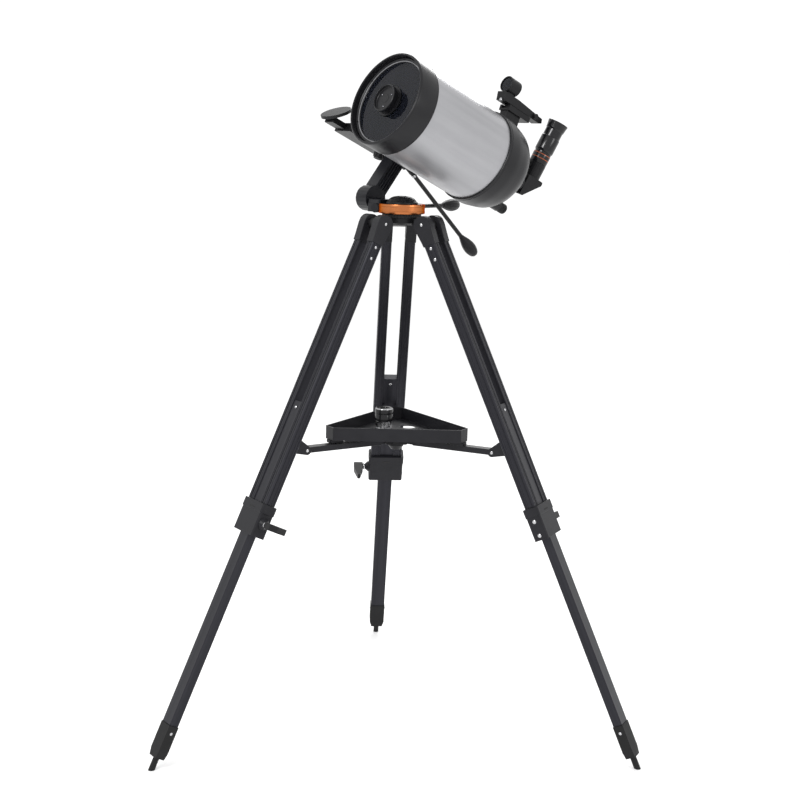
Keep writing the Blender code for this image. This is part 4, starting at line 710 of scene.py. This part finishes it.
def leg_top(k):
    """Grooved rails, moulded caps with their hinge pin, and the cheeks that hold the brace."""
    leg, body = LEGS[k], f"leg_{k + 1}"
    rails = joined(*[prism(rail_section(side), CLAMP_TOP + 0.0003, -0.030) for side in SIDES])
    node = f"leg_{k + 1}_rails"
    piece(f"rails_{k + 1}", rails, leg, body, rail_finish[k], [node], 0.00025)
    out = RAIL_OUT + 0.0012
    shapes = [turned([(-out - 0.0006, 0), (-out - 0.0006, 0.0052), (-out + 0.0004, 0.0060),
                      (out - 0.0004, 0.0060), (out + 0.0006, 0.0052), (out + 0.0006, 0)], "X", 32)]
    skirt = [(-0.0165, -0.006), (-0.0132, -0.032), (-0.0126, -0.0402),
             (0.0126, -0.0402), (0.0132, -0.032), (0.0165, -0.006)]
    for side in SIDES:
        near, far = sorted((side * (RAIL_IN - 0.0003), side * out))
        shapes.append(prism(arc((0, 0), 0.0165, 0, 180, 28) + skirt, near, far, "X"))
    piece(f"caps_{k + 1}", joined(*shapes), leg, body, grey_moulding, (), 0.0011)
    cheeks = []
    lug = ([(0.0097, -0.016), (BRACE_Y, -0.0085)] + arc((BRACE_Y, 0), 0.0085, -60, 60, 10)
           + [(BRACE_Y, 0.0085), (0.0097, 0.016)])
    for side in SIDES:
        near, far = sorted((side * 0.0104, side * (RAIL_IN + CHEEK_WALL)))
        cheeks.append(moved(prism(lug, near, far, "X"), Matrix.Translation((0, 0, BRACE_Z))))
    piece(f"cheeks_{k + 1}", joined(*cheeks), leg, body, grey_moulding, (), 0.0005)


for k in range(3):
    leg_top(k)


SCREW_HEAD, SCREW_RISE = 0.0036, 0.0018


def screw_tree():
    """Button screws, set on points and turned to each point's aim."""
    tree = bpy.data.node_groups.new("set_screws", "GeometryNodeTree")
    tree.interface.new_socket("Geometry", in_out="INPUT", socket_type="NodeSocketGeometry")
    for name, start in (("Head", SCREW_HEAD), ("Rise", SCREW_RISE)):
        tree.interface.new_socket(name, in_out="INPUT", socket_type="NodeSocketFloat").default_value = start
    tree.interface.new_socket("Finish", in_out="INPUT", socket_type="NodeSocketMaterial")
    tree.interface.new_socket("Geometry", in_out="OUTPUT", socket_type="NodeSocketGeometry")
    add, link = tree.nodes.new, tree.links.new
    given, out = add("NodeGroupInput"), add("NodeGroupOutput")
    head = add("GeometryNodeMeshCylinder")
    head.inputs["Vertices"].default_value = 24
    link(given.outputs["Head"], head.inputs["Radius"])
    link(given.outputs["Rise"], head.inputs["Depth"])
    cone = add("GeometryNodeMeshCone")
    cone.inputs["Vertices"].default_value = 24
    link(given.outputs["Head"], cone.inputs["Radius Bottom"])
    for source, share, target in (("Head", 0.62, "Radius Top"), ("Rise", 0.45, "Depth")):
        part = add("ShaderNodeMath")
        part.operation = "MULTIPLY"
        part.inputs[1].default_value = share
        link(given.outputs[source], part.inputs[0])
        link(part.outputs[0], cone.inputs[target])
    up = add("ShaderNodeCombineXYZ")
    link(given.outputs["Rise"], up.inputs["Z"])
    lift = add("GeometryNodeTransform")
    link(cone.outputs["Mesh"], lift.inputs["Geometry"])
    halfway = add("ShaderNodeVectorMath")
    halfway.operation = "SCALE"
    halfway.inputs["Scale"].default_value = 0.5
    link(up.outputs[0], halfway.inputs[0])
    link(halfway.outputs[0], lift.inputs["Translation"])
    both = add("GeometryNodeJoinGeometry")
    link(head.outputs["Mesh"], both.inputs[0])
    link(lift.outputs["Geometry"], both.inputs[0])
    aim = add("GeometryNodeInputNamedAttribute")
    aim.data_type = "FLOAT_VECTOR"
    aim.inputs["Name"].default_value = "aim"
    turn = add("FunctionNodeAlignRotationToVector")
    turn.axis = "Z"
    link(aim.outputs["Attribute"], turn.inputs["Vector"])
    spread = add("GeometryNodeInstanceOnPoints")
    link(given.outputs["Geometry"], spread.inputs["Points"])
    link(both.outputs[0], spread.inputs["Instance"])
    link(turn.outputs[0], spread.inputs["Rotation"])
    real = add("GeometryNodeRealizeInstances")
    link(spread.outputs["Instances"], real.inputs[0])
    paint = add("GeometryNodeSetMaterial")
    link(real.outputs[0], paint.inputs["Geometry"])
    link(given.outputs["Finish"], paint.inputs["Material"])
    link(paint.outputs[0], out.inputs[0])
    return tree


SCREWS = screw_tree()


def screws(name, body, spots, head=SCREW_HEAD, rise=SCREW_RISE, finish=bright_steel):
    """One mesh of screws for a body; each spot is (frame, place, aim)."""
    points = bpy.data.meshes.new(name)
    points.from_pydata([tuple(base @ Vector(place)) for base, place, aim in spots], [], [])
    values = points.attributes.new("aim", "FLOAT_VECTOR", "POINT")
    for item, (base, place, aim) in zip(values.data, spots):
        item.vector = base.to_3x3() @ Vector(aim)
    made = bpy.data.objects.new(name, points)
    bpy.context.scene.collection.objects.link(made)
    step = made.modifiers.new("screws", "NODES")
    step.node_group = SCREWS
    given = {"Head": head, "Rise": rise, "Finish": finish}
    for socket in SCREWS.interface.items_tree:
        if socket.in_out == "INPUT" and socket.name in given:
            step[socket.identifier] = given[socket.name]
    bpy.context.view_layer.update()
    depsgraph = bpy.context.evaluated_depsgraph_get()
    solid = bpy.data.meshes.new_from_object(made.evaluated_get(depsgraph))
    made.modifiers.clear()
    made.data = solid
    solid.name = name
    solid.shade_smooth()
    solid.set_sharp_from_angle(angle=math.radians(30))
    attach(made, body)


def leg_fittings(k):
    """Screws of one leg, dark plates painted as the shade in the slots of its clamp, and the collar of its
    lever.
    """
    leg, body = LEGS[k], f"leg_{k + 1}"
    face, wall = RAIL_OUT + 0.0018, RAIL_OUT - 0.0004
    spots = [(leg, (side * face, 0, 0), (side, 0, 0)) for side in SIDES]
    spots += [(leg, (side * wall, 0, z), (side, 0, 0)) for side in SIDES for z in (-0.047, -0.069)]
    spots += [(leg, (side * (RAIL_IN + CHEEK_WALL), BRACE_Y, BRACE_Z), (side, 0, 0)) for side in SIDES]
    screws(f"rail_screws_{k + 1}", body, spots, 0.0028, 0.0012)
    tip, top = -(LEG_LENGTH - 0.074), -(LEG_LENGTH - 0.719)
    spots = [(leg, (side * 0.016, 0, tip), (side, 0, 0)) for side in SIDES]
    spots += [(leg, (0, side * 0.009, top - 0.012), (0, side, 0)) for side in SIDES]
    screws(f"foot_screws_{k + 1}", f"lower_leg_{k + 1}", spots, 0.0028)
    spots = [(leg, (-0.0360, 0, CLAMP_BOTTOM + z), (-1, 0, 0)) for z in (0.009, 0.036)]
    screws(f"clamp_screws_{k + 1}", body, spots)
    # painted shade: thin matt black plates on the clamp's face stand where the slots' shaded recesses would
    # be
    slot_shades = []
    for y in (-0.0155, 0.0155):
        slot_shade = prism(rounded(-0.0085, 0.0085, -0.0014, 0.0014, 0.0013, 3), y - 0.0003, y + 0.0003, "Y")
        slot_shades.append(moved(slot_shade, Matrix.Translation((0, 0, CLAMP_BOTTOM + 0.0500))))
    piece(f"collar_slot_shades_{k + 1}", joined(*slot_shades), leg, body, inside_black)
    collar = turned([
        (0.0447, 0.0068), (0.0460, 0.0071), (0.0470, 0.0071), (0.0478, 0.0066), (0.0478, 0.0040),
        (0.0447, 0.0040)], "X", 32, True)
    lever = leg @ Matrix.Translation((0, 0, CLAMP_BOTTOM + 0.027))
    piece(f"lever_collar_{k + 1}", collar, lever, f"clamp_screw_{k + 1}", bright_steel)


for k in range(3):
    leg_fittings(k)

keep("tripod_head", black_plastic, 0.0006)
keep("head_bolt", bright_steel)
keep("spreader_hub", black_plastic, 0.0005)
keep("accessory_tray", grey_moulding, 0.0005)
for k in range(3):
    keep(f"leg_{k + 1}_lower", rail_finish[k], 0.0006)
    keep(f"leg_{k + 1}_clamp", grey_moulding, 0.0007)
    keep(f"leg_{k + 1}_clamp_screw", black_plastic, 0.0005)
    keep(f"leg_{k + 1}_foot", soft_rubber, 0.0007)
    keep(f"spreader_arm_{k + 1}", grey_moulding, 0.0006)
tabs = []
for azimuth in LEG_AZIMUTHS:
    tab = prism(rounded(0.120, 0.149, -0.0095, 0.0095, 0.004), 0.5690, 0.5747)
    tabs.append(moved(tab, Matrix.Rotation(math.radians(azimuth), 4, "Z")))
piece("tray_tabs", joined(*tabs), TRAY, "tray", grey_moulding, (), 0.0006)
ribs = turned([(0.9905, 0.0340), (0.9905, 0.0364), (0.9910, 0.0369), (0.9972, 0.0369), (0.9978, 0.0364),
               (0.9978, 0.0340)], "Z", 240, True, (40, 0.0011, 0.9907, 0.9976))
piece("neck_ribs", ribs, STAND, "head", black_plastic)
FINDER_PLACE = TUBE @ Matrix.Translation((tx(0.2665), 0, 0.156))
piece("finder_window", turned([
    (0, 0), (0, 0.0133), (0.0008, 0.0133), (0.0013, 0.0080), (0.0015, 0)], "X", 48),
    FINDER_PLACE, "finder", glass)
BASE = 0.5773    # bottom of the spare eyepiece
piece("spare_barrel", turned([
    (BASE, 0), (BASE, 0.0150), (BASE + 0.0008, 0.01585), (BASE + 0.0070, 0.01585),
    (BASE + 0.0075, 0.0153), (BASE + 0.0100, 0.0153), (BASE + 0.0105, 0.01585),
    (BASE + 0.0199, 0.01585), (BASE + 0.0199, 0)], "Z", 64),
    SPARE, "spare", bright_steel)
piece("spare_body", turned([
    (BASE + 0.0200, 0), (BASE + 0.0200, 0.0166), (BASE + 0.0208, 0.0174), (BASE + 0.0218, 0.0175),
    (BASE + 0.0320, 0.0175), (BASE + 0.0326, 0.0170), (BASE + 0.0344, 0.0170), (BASE + 0.0350, 0.0175),
    (BASE + 0.0415, 0.0175), (BASE + 0.0445, 0.0166), (BASE + 0.0458, 0.0154), (BASE + 0.0460, 0.0142),
    (BASE + 0.0457, 0.0112), (BASE + 0.0430, 0.0098), (BASE + 0.0430, 0)],
    "Z", 64, False, (32, 0.0004, BASE + 0.0215, BASE + 0.0322)),
    SPARE, "spare", eyepiece_black, ["spare_eyepiece"])
piece("spare_rim", turned([
    (BASE + 0.0436, 0.0171), (BASE + 0.0448, 0.0168), (BASE + 0.0455, 0.0160),
    (BASE + 0.0440, 0.0160)], "Z", 64, True),
    SPARE, "spare", bright_steel)


def screw_ring(place, radius, count, phase):
    """Spots of screws round the tube's axis, aimed forwards; the phase is a share of one step."""
    turns = [math.tau * (n + phase) / count for n in range(count)]
    return [(TUBE, (place, radius * math.cos(turn), radius * math.sin(turn)), (1, 0, 0)) for turn in turns]


screws("holder_screws", "optical_tube", screw_ring(DISH_FLOOR, 0.0150, 3, 0.25), 0.0022, 0.0012, dark_steel)
screws("cell_screws", "optical_tube", screw_ring(tx(0.0112), 0.0800, 6, 0.5), 0.0014, 0.0006, black_paint)
seam = [(TUBE @ Matrix.Rotation(math.radians(turn), 4, "X"), (tx(0.2500), 0, BACK_R - 0.0001), UP)
        for turn in (20, 110, 200, 290)]
screws("seam_screws", "optical_tube", seam, 0.0016, 0.0005, black_paint)
screws("finder_screw", "finder", [(TUBE, (tx(0.259), 0.0045, 0.1212), (1, 0, 0))], 0.0030, 0.0014)
screws("arm_screws", "mount", [(MOUNT, (0.0097, -0.0953, 1.0229), (0, -1, 0))], 0.0032, 0.0006)

# ----- floor and light -------------------------------------------------------------------------------
floor_finish = Finish("pale_floor", roughness=0.9)
floor_finish.put("Base Color", (0.94, 0.94, 0.94, 1))
reach, below = 14, -0.0005
corners = [(-reach, -reach, below), (reach, -reach, below), (reach, reach, below), (-reach, reach, below)]
floor_mesh = from_faces(corners, [(0, 1, 2, 3)])
floor = bpy.data.objects.new("floor", floor_mesh)
floor_mesh.materials.append(floor_finish.material)
bpy.context.scene.collection.objects.link(floor)

world = bpy.data.worlds.new("studio")
bpy.context.scene.world = world
world.use_nodes = True
sky = world.node_tree.nodes["Background"]
sky.inputs["Color"].default_value = (1.0, 1.0, 1.0, 1)
sky.inputs["Strength"].default_value = 1.08
bpy.context.scene.view_settings.view_transform = "Standard"


def lamp(name, place, target, size, power):
    """Square area lamp aimed at a point."""
    data = bpy.data.lights.new(name, "AREA")
    data.shape, data.size, data.energy = "SQUARE", size, power
    made = bpy.data.objects.new(name, data)
    made.location = place
    made.rotation_mode = "QUATERNION"
    made.rotation_quaternion = (Vector(target) - Vector(place)).to_track_quat("-Z", "Y")
    bpy.context.scene.collection.objects.link(made)


lamp("key", (-1.9, -2.6, 2.9), (0, 0, 0.9), 0.9, 55)
lamp("fill", (2.4, -2.2, 1.7), (0, 0, 0.9), 1.0, 16)
lamp("rim", (0.6, 2.4, 2.6), (0, 0, 1.0), 1.4, 40)
